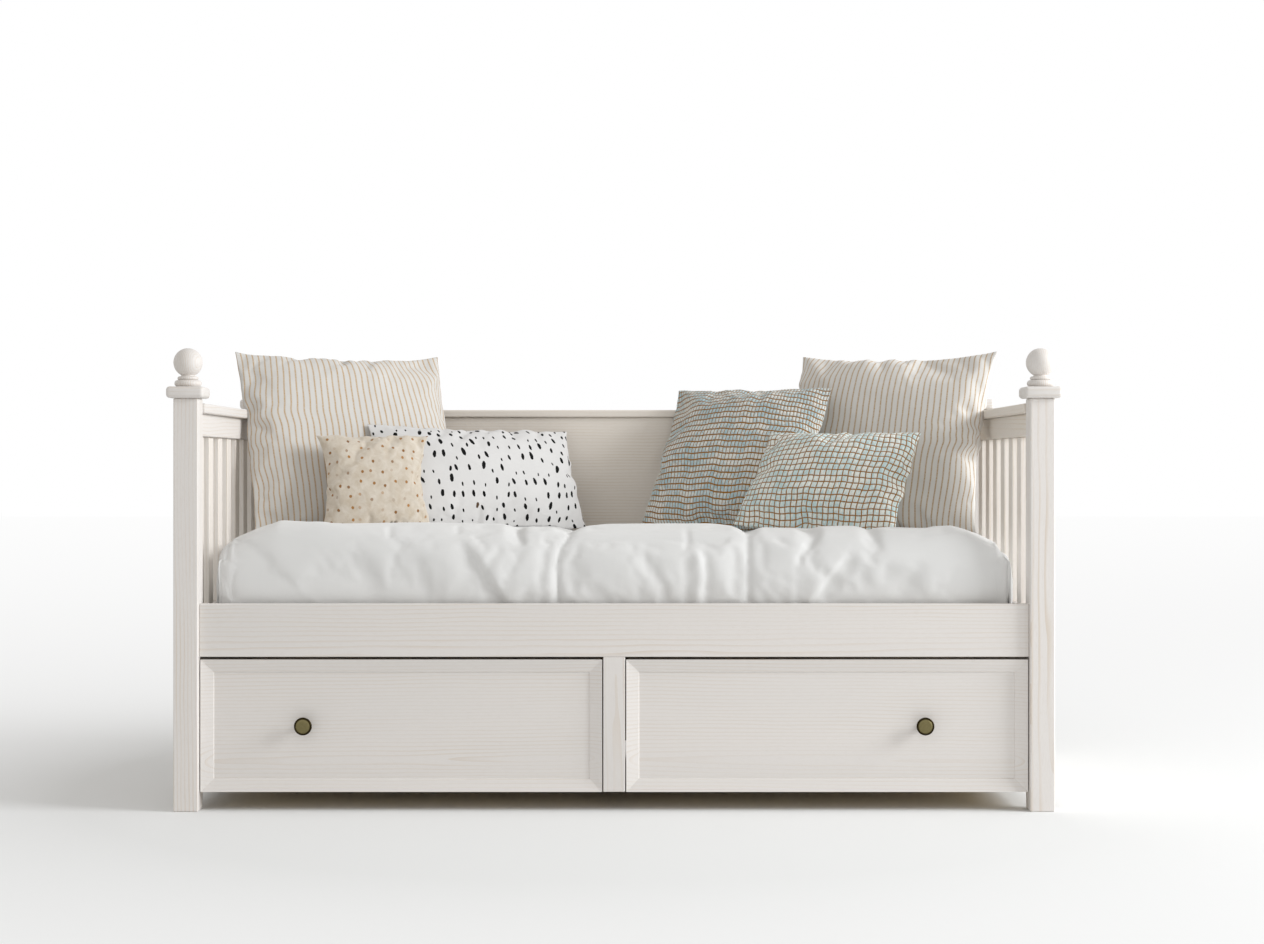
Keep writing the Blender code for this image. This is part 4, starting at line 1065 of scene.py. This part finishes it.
# %% [markdown]
# ## Printed and woven cushion cloths
# The cushions carry plain, common patterns: thin tan stripes, short black brush dashes, small ochre dots and
# a woven grid. Each is drawn by rule from the position on the flat cloth, so it bends and gathers with the
# cloth and stops at the seams. Stripes are a distance to the nearest of many lines. Dashes and dots sit in
# the cells of a Voronoi pattern, one in each, with a size and a tilt of their own.

# %% Striped cotton
STRIPE_PITCH = 16 * MM
STRIPE_HALF = 1.9 * MM
STRIPE_SOFT = 1.2 * MM
STRIPE_SWAY = 3 * MM
SWAY_LENGTH = 111.11 * MM
WORN_SPOT = 3.8462 * MM
STRIPED_CLOUD = 90.909 * MM


def striped_cloth(name, seed, light, dark):
    """Cotton with thin tan stripes that run up the cushion."""
    made, tree, shader, flat = cloth_start(name)
    across = add(tree, "ShaderNodeSeparateXYZ", {0: flat}).outputs["X"]
    drift = add(tree, "ShaderNodeTexNoise", {"Vector": flat, "Scale": 1 / SWAY_LENGTH, "W": seed,
                                             "Detail": 1.0}, noise_dimensions="4D")
    sway = add(tree, "ShaderNodeMath", {0: drift, 1: STRIPE_SWAY, 2: across}, operation="MULTIPLY_ADD")
    inside = add(tree, "ShaderNodeMath", {0: sway, 1: STRIPE_PITCH / 2}, operation="PINGPONG")
    line = add(tree, "ShaderNodeMapRange", {"Value": inside, "From Min": STRIPE_HALF + STRIPE_SOFT,
                                            "From Max": STRIPE_HALF - STRIPE_SOFT},
               interpolation_type="SMOOTHSTEP")
    worn = add(tree, "ShaderNodeTexNoise", {"Vector": flat, "Scale": 1 / WORN_SPOT, "Detail": 3.0})
    faded = add(tree, "ShaderNodeMapRange", {"Value": worn, "From Min": 0.25, "From Max": 0.75,
                                             "To Min": 0.45, "To Max": 1.0})
    share = add(tree, "ShaderNodeMath", {0: line, 1: faded}, operation="MULTIPLY")
    ground = clouded(tree, flat, STRIPED_CLOUD, light, dark)
    final = add(tree, "ShaderNodeMix", {"Factor": share, 6: ground, 7: "B8935F"}, data_type="RGBA")
    cloth_end(tree, shader, flat, final)
    return made


# %% Dashed cotton and dotted linen
SPOT_PITCH = 32 * MM
SPOT_STRAY_SHARE = 0.6
# Half of a dash's width and height. The third number only keeps the division from meeting a zero
DASH_HALF = Vector((5.0 * MM, 9.8 * MM, 1.0))
DASH_TILT = (-0.42, 0.30)
DASH_SIZE_SHARES = (0.42, 1.12)
DASH_RAGS = 5.2632 * MM
DASHED_CLOUD = 83.333 * MM
BROWN_SHARE = 0.015
# A dot is whole within the second radius and gone from the first on, less up to 3 mm of uneven edge
DOT_EDGE = (6.2 * MM, 4.6 * MM)
DOT_UNEVEN = 3 * MM
DOT_RAGS = 6.25 * MM
DYE_CLOUD = 23.81 * MM
LINEN_SLUBS = 0.9 * MM


def scattered(tree, flat, shift):
    """One spot in each cell: the way from the spot's middle, and three random numbers of its own."""
    placed = add(tree, "ShaderNodeMapping", {"Vector": flat, "Location": shift})
    cells = add(tree, "ShaderNodeTexVoronoi", {"Vector": placed, "Scale": 1 / SPOT_PITCH,
                                               "Randomness": SPOT_STRAY_SHARE}, voronoi_dimensions="2D")
    offset = add(tree, "ShaderNodeVectorMath", {0: placed, 1: cells.outputs["Position"]},
                 operation="SUBTRACT")
    return offset, add(tree, "ShaderNodeSeparateColor", {0: cells.outputs["Color"]}).outputs


def flat_length(tree, offset):
    """How long an offset on the flat cloth is."""
    level = add(tree, "ShaderNodeVectorMath", {0: offset, 1: (1, 1, 0)}, operation="MULTIPLY")
    return add(tree, "ShaderNodeVectorMath", {0: level}, operation="LENGTH")


def dashed_cloth(name, shift):
    """White cotton with short, nearly upright brush dashes in black, a few small ones in brown."""
    made, tree, shader, flat = cloth_start(name)
    offset, own = scattered(tree, flat, shift)
    tilt = add(tree, "ShaderNodeMapRange", {"Value": own[0], "To Min": DASH_TILT[0], "To Max": DASH_TILT[1]})
    tilted = add(tree, "ShaderNodeVectorRotate", {"Vector": offset, "Angle": tilt}, rotation_type="Z_AXIS")
    share = add(tree, "ShaderNodeMapRange", {"Value": own[1], "To Min": DASH_SIZE_SHARES[0],
                                             "To Max": DASH_SIZE_SHARES[1]})
    half = add(tree, "ShaderNodeVectorMath", {0: DASH_HALF, "Scale": share}, operation="SCALE")
    unit = add(tree, "ShaderNodeVectorMath", {0: tilted, 1: half}, operation="DIVIDE")
    ragged = add(tree, "ShaderNodeTexNoise", {"Vector": flat, "Scale": 1 / DASH_RAGS, "Detail": 2.0})
    rough_edge = add(tree, "ShaderNodeMapRange", {"Value": ragged, "To Min": -0.32, "To Max": 0.32})
    uneven = add(tree, "ShaderNodeMath", {0: flat_length(tree, unit), 1: rough_edge}, operation="ADD")
    mark = add(tree, "ShaderNodeMapRange", {"Value": uneven, "From Min": 1.03, "From Max": 0.96},
               interpolation_type="SMOOTHSTEP")
    brown = add(tree, "ShaderNodeMath", {0: own[2], 1: 1 - BROWN_SHARE}, operation="GREATER_THAN")
    ink = add(tree, "ShaderNodeMix", {"Factor": brown, 6: "060606", 7: "54402F"}, data_type="RGBA")
    ground = clouded(tree, flat, DASHED_CLOUD, "DCDBDA", "D3D2D1", detail=2.0)
    final = add(tree, "ShaderNodeMix", {"Factor": mark, 6: ground, 7: ink}, data_type="RGBA")
    # Ink lays the fuzz down, so a dash has no sheen
    sheen = add(tree, "ShaderNodeMapRange", {"Value": mark, "To Min": CLOTH_SHEEN, "To Max": 0.0})
    feed(shader, {"Sheen Weight": sheen})
    cloth_end(tree, shader, flat, final)
    return made


def dotted_cloth(name, shift):
    """Cream linen, cloudy from uneven dye, with small ochre dots, some of them faint."""
    made, tree, shader, flat = cloth_start(name)
    offset, own = scattered(tree, flat, shift)
    ragged = add(tree, "ShaderNodeTexNoise", {"Vector": flat, "Scale": 1 / DOT_RAGS, "Detail": 2.0})
    uneven = add(tree, "ShaderNodeMath", {0: ragged, 1: DOT_UNEVEN, 2: flat_length(tree, offset)},
                 operation="MULTIPLY_ADD")
    mark = add(tree, "ShaderNodeMapRange", {"Value": uneven, "From Min": DOT_EDGE[0],
                                            "From Max": DOT_EDGE[1]}, interpolation_type="SMOOTHSTEP")
    strong = add(tree, "ShaderNodeMapRange", {"Value": own[0], "From Min": 0.05, "From Max": 0.4,
                                              "To Min": 0.12, "To Max": 0.95})
    share = add(tree, "ShaderNodeMath", {0: mark, 1: strong}, operation="MULTIPLY")
    ochre = add(tree, "ShaderNodeMix", {"Factor": own[1], 6: "7E5220", 7: "AC7A3C"}, data_type="RGBA")
    clouds = add(tree, "ShaderNodeTexNoise", {"Vector": flat, "Scale": 1 / DYE_CLOUD, "Detail": 5.0,
                                              "Roughness": 0.62, "Distortion": 0.6})
    dye = add(tree, "ShaderNodeMapRange", {"Value": clouds, "From Min": 0.3, "From Max": 0.7})
    ground = add(tree, "ShaderNodeMix", {"Factor": dye, 6: "DAD2C6", 7: "C5B8A5"}, data_type="RGBA")
    final = add(tree, "ShaderNodeMix", {"Factor": share, 6: ground, 7: ochre}, data_type="RGBA")
    cloth_end(tree, shader, flat, final, LINEN_SLUBS)
    return made


# %% [markdown]
# The woven grid is a waffle cloth. Brown yarns cross in a grid that was never quite straight, and between
# them pale blue and white puffs stand up by a millimetre or two. Colour and height have to agree, so both
# use the same rule, once with numbers for the mesh and once with nodes for the material: distances to the
# nearest yarn in both directions, with a slow sideways wave in each.

# %% Woven grid cloth
# Each wave: how far a yarn sways, in how many radians to the metre, and where the wave starts
WAVES = ((1.0 * MM, 61.0, 0.4), (0.6 * MM, 137.0, 1.9))
# Past a yarn's half width its colour is whole up to the second and gone from the first on
YARN_EDGE = (2.1 * MM, 0.7 * MM)
YARN_UNEVEN = 2.6 * MM
YARN_RAGS = 4.3478 * MM
THREAD_SPOT = 4.7619 * MM
THREAD_STRETCH = (1.0, 0.35, 1.0)
PUFF_CLOUD = 71.429 * MM
PUFF_SLOPE = 5 * MM
PUFF_RELIEF = 1.1 * MM


def grid_height(flat, pitch, lift):
    """Height of the puffs over the yarns at points of the flat cloth."""
    puff = np.ones(len(flat))
    for axis in (0, 1):
        sway = sum(size * np.sin(flat[:, 1 - axis] * turns + start) for size, turns, start in WAVES)
        puff *= np.abs(np.sin(math.pi * (flat[:, axis] + sway) / pitch[axis]))
    return lift * puff ** 0.5


def woven_grid(name, pitch, yarns, blue, pale, brown, fleck, deep):
    """Waffle cloth with puffs of two colours in a grid of brown yarn, upright and level."""
    made, tree, shader, flat = cloth_start(name)
    apart = add(tree, "ShaderNodeSeparateXYZ", {0: flat}).outputs
    ragged = add(tree, "ShaderNodeTexNoise", {"Vector": flat, "Scale": 1 / YARN_RAGS, "Detail": 3.0})
    gaps, cells, marks = [], [], []
    for axis in (0, 1):
        bent = apart[axis]
        for size, turns, start in WAVES:
            angle = add(tree, "ShaderNodeMath", {0: apart[1 - axis], 1: turns, 2: start},
                        operation="MULTIPLY_ADD")
            wave = add(tree, "ShaderNodeMath", {0: angle}, operation="SINE")
            bent = add(tree, "ShaderNodeMath", {0: wave, 1: size, 2: bent}, operation="MULTIPLY_ADD")
        past = add(tree, "ShaderNodeMath", {0: bent, 1: pitch[axis]}, operation="PINGPONG")
        short = add(tree, "ShaderNodeMath", {0: pitch[axis], 1: past}, operation="SUBTRACT")
        gaps.append(add(tree, "ShaderNodeMath", {0: past, 1: short}, operation="MINIMUM"))
        ratio = add(tree, "ShaderNodeMath", {0: bent, 1: pitch[axis]}, operation="DIVIDE")
        cells.append(add(tree, "ShaderNodeMath", {0: ratio}, operation="FLOOR"))
        uneven = add(tree, "ShaderNodeMath", {0: ragged, 1: YARN_UNEVEN, 2: gaps[axis]},
                     operation="MULTIPLY_ADD")
        marks.append(add(tree, "ShaderNodeMapRange", {"Value": uneven, "From Min": yarns[axis] + YARN_EDGE[0],
                                                      "From Max": yarns[axis] + YARN_EDGE[1]},
                         interpolation_type="SMOOTHSTEP"))
    yarn = add(tree, "ShaderNodeMath", {0: marks[0], 1: marks[1]}, operation="MAXIMUM")
    # Blue or pale: a chance for each cell, mottled by the threads and by broad clouds
    cell = add(tree, "ShaderNodeCombineXYZ", {0: cells[0], 1: cells[1]})
    own = add(tree, "ShaderNodeTexWhiteNoise", {"Vector": cell}, noise_dimensions="3D")
    broad = add(tree, "ShaderNodeTexNoise", {"Vector": flat, "Scale": 1 / PUFF_CLOUD, "Detail": 2.0})
    strokes = add(tree, "ShaderNodeVectorMath", {0: flat, 1: THREAD_STRETCH}, operation="MULTIPLY")
    thread = add(tree, "ShaderNodeTexNoise", {"Vector": strokes, "Scale": 1 / THREAD_SPOT, "Detail": 2.0})
    mottled = add(tree, "ShaderNodeMath", {0: thread, 1: broad}, operation="ADD")
    choice = add(tree, "ShaderNodeMath", {0: own, 1: 0.14, 2: mottled}, operation="MULTIPLY_ADD")
    puff = add(tree, "ShaderNodeMapRange", {"Value": choice, "From Min": 0.9, "From Max": 1.2})
    filling = add(tree, "ShaderNodeMix", {"Factor": puff, 6: blue, 7: pale}, data_type="RGBA")
    speck = add(tree, "ShaderNodeMapRange", {"Value": ragged, "From Min": 0.52, "From Max": 0.75,
                                             "To Max": fleck})
    flecked = add(tree, "ShaderNodeMix", {"Factor": speck, 6: filling, 7: brown}, data_type="RGBA")
    shade = add(tree, "ShaderNodeMix", {"Factor": broad, 6: brown, 7: deep}, data_type="RGBA")
    final = add(tree, "ShaderNodeMix", {"Factor": yarn, 6: flecked, 7: shade}, data_type="RGBA")
    closest = add(tree, "ShaderNodeMath", {0: gaps[0], 1: gaps[1]}, operation="MINIMUM")
    risen = add(tree, "ShaderNodeMapRange", {"Value": closest, "From Max": PUFF_SLOPE, "To Max": PUFF_RELIEF},
                interpolation_type="SMOOTHSTEP")
    cloth_end(tree, shader, flat, final, relief=risen)
    return made


# %% [markdown]
# ## Cushions
# A cushion is two rectangles of cloth, sewn together round the edge, turned and filled. So that is how each
# one is made: two flat grids that share their rim, filled by Cloth pressure. The cloth inside is let grow
# while the seam keeps its length, and only the corners stay flat, so that they come out as sharp ears
# between edges that draw in. Each edge is then laid on its own smooth curve, read off the picture, and the
# case takes the size and place of the frame's own solid. Last, it is pressed against what it leans on: the
# duvet under it, the back boards and end slats behind it, and its neighbours.

# %% The six cushions and their cloths
SQUARE_PITCH = (9.8 * MM, 16.6 * MM)
LONG_PITCH = (15.2 * MM, 15.6 * MM)
# The turn is lean, roll and yaw in degrees. Sags are how far the left, right, bottom and top edges draw in
# at their middle, and pulls move the corners, as right and up: bottom left, bottom right, top left, top
# right. Both are in mm. A grid is the puffs' spacing and their height
CUSHIONS = {
    # The two striped cushions are one cloth: the left copy is darker as painted shade, the right copy lighter
    # as painted light
    "striped_cushion_left": {"turn": (20, 0, 27), "seed": 3, "slot": "striped_cotton",
                             "sags": (10, 10, 0, 27), "pulls": ((0, 0), (0, 0), (-3, 0), (0, 0)),
                             "cloth": striped_cloth("striped_cotton_left_painted_shade", 1.3, "D9D8D5", "D0CDC8")},
    "striped_cushion_right": {"turn": (16, 0, -30), "seed": 11, "slot": "striped_cotton",
                              "sags": (12, 26, 0, 25), "pulls": ((0, 0), (0, -10), (0, 0), (8, 0)),
                              "cloth": striped_cloth("striped_cotton_right_painted_light", 5.1, "E8E7E4", "DFDCD7")},
    "dash_cushion": {"turn": (28, 1.5, 27), "seed": 7, "slot": "dashed_cotton",
                     "sags": (12, 20, -4, 12),
                     "cloth": dashed_cloth("dashed_cotton", (0.31, 0.17, 0))},
    "grid_cushion_square": {"turn": (30, 0, -30), "seed": 23, "slot": "woven_grid",
                            "grid": (SQUARE_PITCH, 2.0 * MM), "sags": (14, 12, -3, 9),
                            "cloth": woven_grid("woven_grid_square", SQUARE_PITCH, (0.8 * MM, 1.8 * MM),
                                                "ABC9D2", "E3E6E2", "A36F1D", 0.6, "775213")},
    "cream_cushion": {"turn": (20, 0, 15), "seed": 31, "slot": "dotted_linen", "sags": (28, 30, -3, 4),
                      "cloth": dotted_cloth("dotted_linen", (0.12, 0.44, 0))},
    "grid_cushion_long": {"turn": (33, 0, -31), "seed": 5, "slot": "woven_grid",
                          "grid": (LONG_PITCH, 1.5 * MM), "sags": (14, 14, -4, 7),
                          "pulls": ((-30, 0), (0, -12), (0, 0), (0, 0)),
                          "cloth": woven_grid("woven_grid_long", LONG_PITCH, (1.3 * MM, 1.3 * MM), "C9E3E6",
                                              "F3F6F0", "A97421", 0.3, "7E5616")},
}
NO_PULLS = ((0, 0), (0, 0), (0, 0), (0, 0))
print("cushions:", ", ".join(CUSHIONS))

# %% Sew the cases
CUSHION_CELLS = 48
CELL_MOST = 9.3 * MM
CUSHION_GROWTH = (0.06, 0.04)
FLAT_START = 18 * MM
RIM_WIDTH = 0.1 * MM
CORNER_REACH = 30 * MM
# The hold on the cloth falls from 1 to 0 between 0.6 and 1.6 of the corner's reach
HOLD_END = 1.6
START_WAVES = 8
START_WAVE = 0.6 * MM


def sewn_case(name, width, height):
    """Two sheets that share their rim, a little apart in the middle. Also gives the flat cloth's points."""
    cell = min(width / CUSHION_CELLS, CELL_MOST)
    nx, ny = round(width / cell), round(height / cell)
    points, flat, faces, index = [], [], [], {}
    for side in (-1, 1):
        for j in range(ny + 1):
            for i in range(nx + 1):
                if side == 1 and (i in (0, nx) or j in (0, ny)):
                    index[side, i, j] = index[-1, i, j]
                    continue
                u, v = (i / nx - 0.5) * width, (j / ny - 0.5) * height
                swell = math.sqrt((1 - (2 * i / nx - 1) ** 2) * (1 - (2 * j / ny - 1) ** 2))
                index[side, i, j] = len(points)
                points.append((u, side * FLAT_START * swell, v))
                flat.append((u, v))
        for j in range(ny):
            for i in range(nx):
                ring = [(i, j), (i + 1, j), (i + 1, j + 1), (i, j + 1)]
                faces.append([index[side, *spot] for spot in (ring if side == -1 else reversed(ring))])
    mesh = bpy.data.meshes.new(name)
    mesh.from_pydata(points, [], faces)
    flat = np.array(flat) * (1 + CUSHION_GROWTH[0])
    lay_flat(mesh, flat)
    return mesh, flat


def seam_hold(flat):
    """1 on the seam and in the four corners, where the cloth grows less, and 0 elsewhere."""
    gaps = flat.max(0) - np.abs(flat)
    corner_hold = np.clip(HOLD_END - np.hypot(*gaps.T) / CORNER_REACH, 0, 1)
    return np.round(np.where(gaps.min(1) < RIM_WIDTH, 1.0, corner_hold), 1)


def ears_of(flat):
    """The case's four corner points: bottom left, bottom right, top left, top right."""
    return [int(np.argmax(flat @ (right, up))) for up in (-1, 1) for right in (-1, 1)]


def start_waves(points, seed):
    """Tiny, smooth unevenness, so that the puckers don't come out the same on both sides."""
    dice = np.random.default_rng(seed)
    for _ in range(START_WAVES):
        turns = dice.uniform(-90, 90, 2)
        angles = points[:, 0] * turns[0] + points[:, 2] * turns[1] + dice.uniform(0, 6)
        points[:, 1] += START_WAVE * np.sin(angles)
    return points


# %% Lay the edges on their curves, and press a case against what it touches
SAG_POWER = 0.75
EDGE_POWER = 3
PRESS_GAP = 0.6 * MM
PRESS_REACH = 0.06


def draw_edges(points, flat, size, sags, pulls):
    """Lays the seam on smooth curves between its corners, and takes the cloth beside it along.

    The cloth's own waves across the seam stay. Further in, less of the move is left."""
    share = flat / np.ptp(flat, axis=0) + 0.5
    ends = {}
    for spot, (right, rise) in zip(((0, 0), (1, 0), (0, 1), (1, 1)), pulls):
        ends[spot] = np.array([(spot[0] - 0.5) * size[0] + right * MM, (spot[1] - 0.5) * size[2] + rise * MM])
    move = np.zeros((len(points), 2))
    for sag, (axis, side) in zip(sags, ((0, 0), (0, 1), (1, 0), (1, 1))):
        away = np.abs(share[:, axis] - side)
        along = share[:, 1 - axis]
        rim = np.flatnonzero(away < 1e-6)
        rim = rim[np.argsort(along[rim])]
        t = along[rim]
        first, last = (ends[(side, 0)], ends[(side, 1)]) if axis == 0 else (ends[(0, side)], ends[(1, side)])
        curve = first + (last - first) * t[:, None]
        curve[:, axis] += (1 - 2 * side) * sag * MM * (4 * t * (1 - t)) ** SAG_POWER
        needed = curve - points[rim][:, [0, 2]]
        for part in (0, 1):
            linear = needed[0, part] + (needed[-1, part] - needed[0, part]) * along
            own = np.interp(along, t, needed[:, part]) - linear
            move[:, part] += own * (1 - away) ** EDGE_POWER + linear * (1 - away) / 2
    points[:, [0, 2]] += move
    return points


def press_back(points, obstacle, direction):
    """Moves points that lie inside an obstacle along a direction until they are just outside it."""
    moved_count = 0
    way = Vector(direction)
    for index, point in enumerate(points):
        spot, normal, _, _ = obstacle.find_nearest(Vector(point), PRESS_REACH)
        if spot is None or (Vector(point) - spot).dot(normal) >= PRESS_GAP:
            continue
        hit = obstacle.ray_cast(Vector(point), way, PRESS_REACH)[0]
        points[index] = (hit if hit is not None else spot) + way * PRESS_GAP
        moved_count += 1
    return moved_count


# %% Fill and place the cushions
CUSHION_FRAMES = 16
# The pressure is for a cushion of this width. A smaller one bends its cloth more and needs more of it
CUSHION_PRESSURE = 5.0
PRESSURE_WIDTH = 0.58
# Over the rails the cloth may bulge out across them again, by this much for each metre that it is higher
BULGE = 2

back_plane = min(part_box(name)[0].y for name in ("back_upper_panel", "back_cap_rail"))
end_plane = min(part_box(name)[0].x for name in ("side_slat_right_1", "side_cap_rail_right"))
back_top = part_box("back_cap_rail")[1].z
end_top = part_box("side_cap_rail_right")[1].z
placed_trees = {}
for name, facts in CUSHIONS.items():
    lean, roll, yaw = (math.radians(a) for a in facts["turn"])
    turn = Euler((-lean, roll, yaw)).to_matrix()
    local = rows_of(NODES[name].data.vertices, "co") @ np.array(turn)
    low, high = local.min(0), local.max(0)
    middle, size = (low + high) / 2, high - low
    mesh, flat = sewn_case(name + "_case", size[0], size[2])
    thing = new_piece(name + "_cover", mesh, "frame", facts["cloth"], [name])
    put_back(mesh, start_waves(rows_of(mesh.vertices, "co"), facts["seed"]))
    ears = ears_of(flat)
    fill(thing, CUSHION_FRAMES, CUSHION_PRESSURE * PRESSURE_WIDTH / size[0], CUSHION_GROWTH, seam_hold(flat),
         np.isin(np.arange(len(flat)), ears))
    points = rows_of(thing.data.vertices, "co")
    points[:, 1] *= size[1] / np.ptp(points[:, 1])
    put_back(thing.data, draw_edges(points, flat, size, facts["sags"], facts.get("pulls", NO_PULLS)))
    mesh = subdivide(thing)
    points = rows_of(mesh.vertices, "co")
    if "grid" in facts:
        pitch, lift = facts["grid"]
        flat_fine = np.zeros((len(mesh.vertices), 2))
        corners = rows_of(mesh.loops, "vertex_index", 1, int).ravel()
        flat_fine[corners] = rows_of(mesh.uv_layers["flat_cloth"].data, "uv", 2)
        outward = rows_of(mesh.vertices, "normal")
        put_back(mesh, points + outward * (grid_height(flat_fine, pitch, lift) - lift)[:, None])
        points = rows_of(mesh.vertices, "co")
    points = points @ np.array(turn).T + np.array(turn @ Vector(middle))
    over_back = np.maximum(points[:, 2] - back_top, 0) * BULGE
    over_end = np.maximum(points[:, 2] - end_top, 0) * BULGE
    points[:, 1] = np.minimum(points[:, 1], back_plane - PRESS_GAP + over_back)
    reach = end_plane - PRESS_GAP + over_end
    points[:, 0] = np.clip(points[:, 0], -reach, reach)
    moved_count = press_back(points, duvet_skin, (0, 0, 1))
    for other in placed_trees.values():
        moved_count += press_back(points, other, (0, -1, 0))
    put_back(mesh, points)
    placed_trees[name] = surface_tree(mesh)
    print(name, len(mesh.polygons), "faces,", moved_count, "points pressed back, ears at",
          [in_picture(points[corner]) for corner in ears])
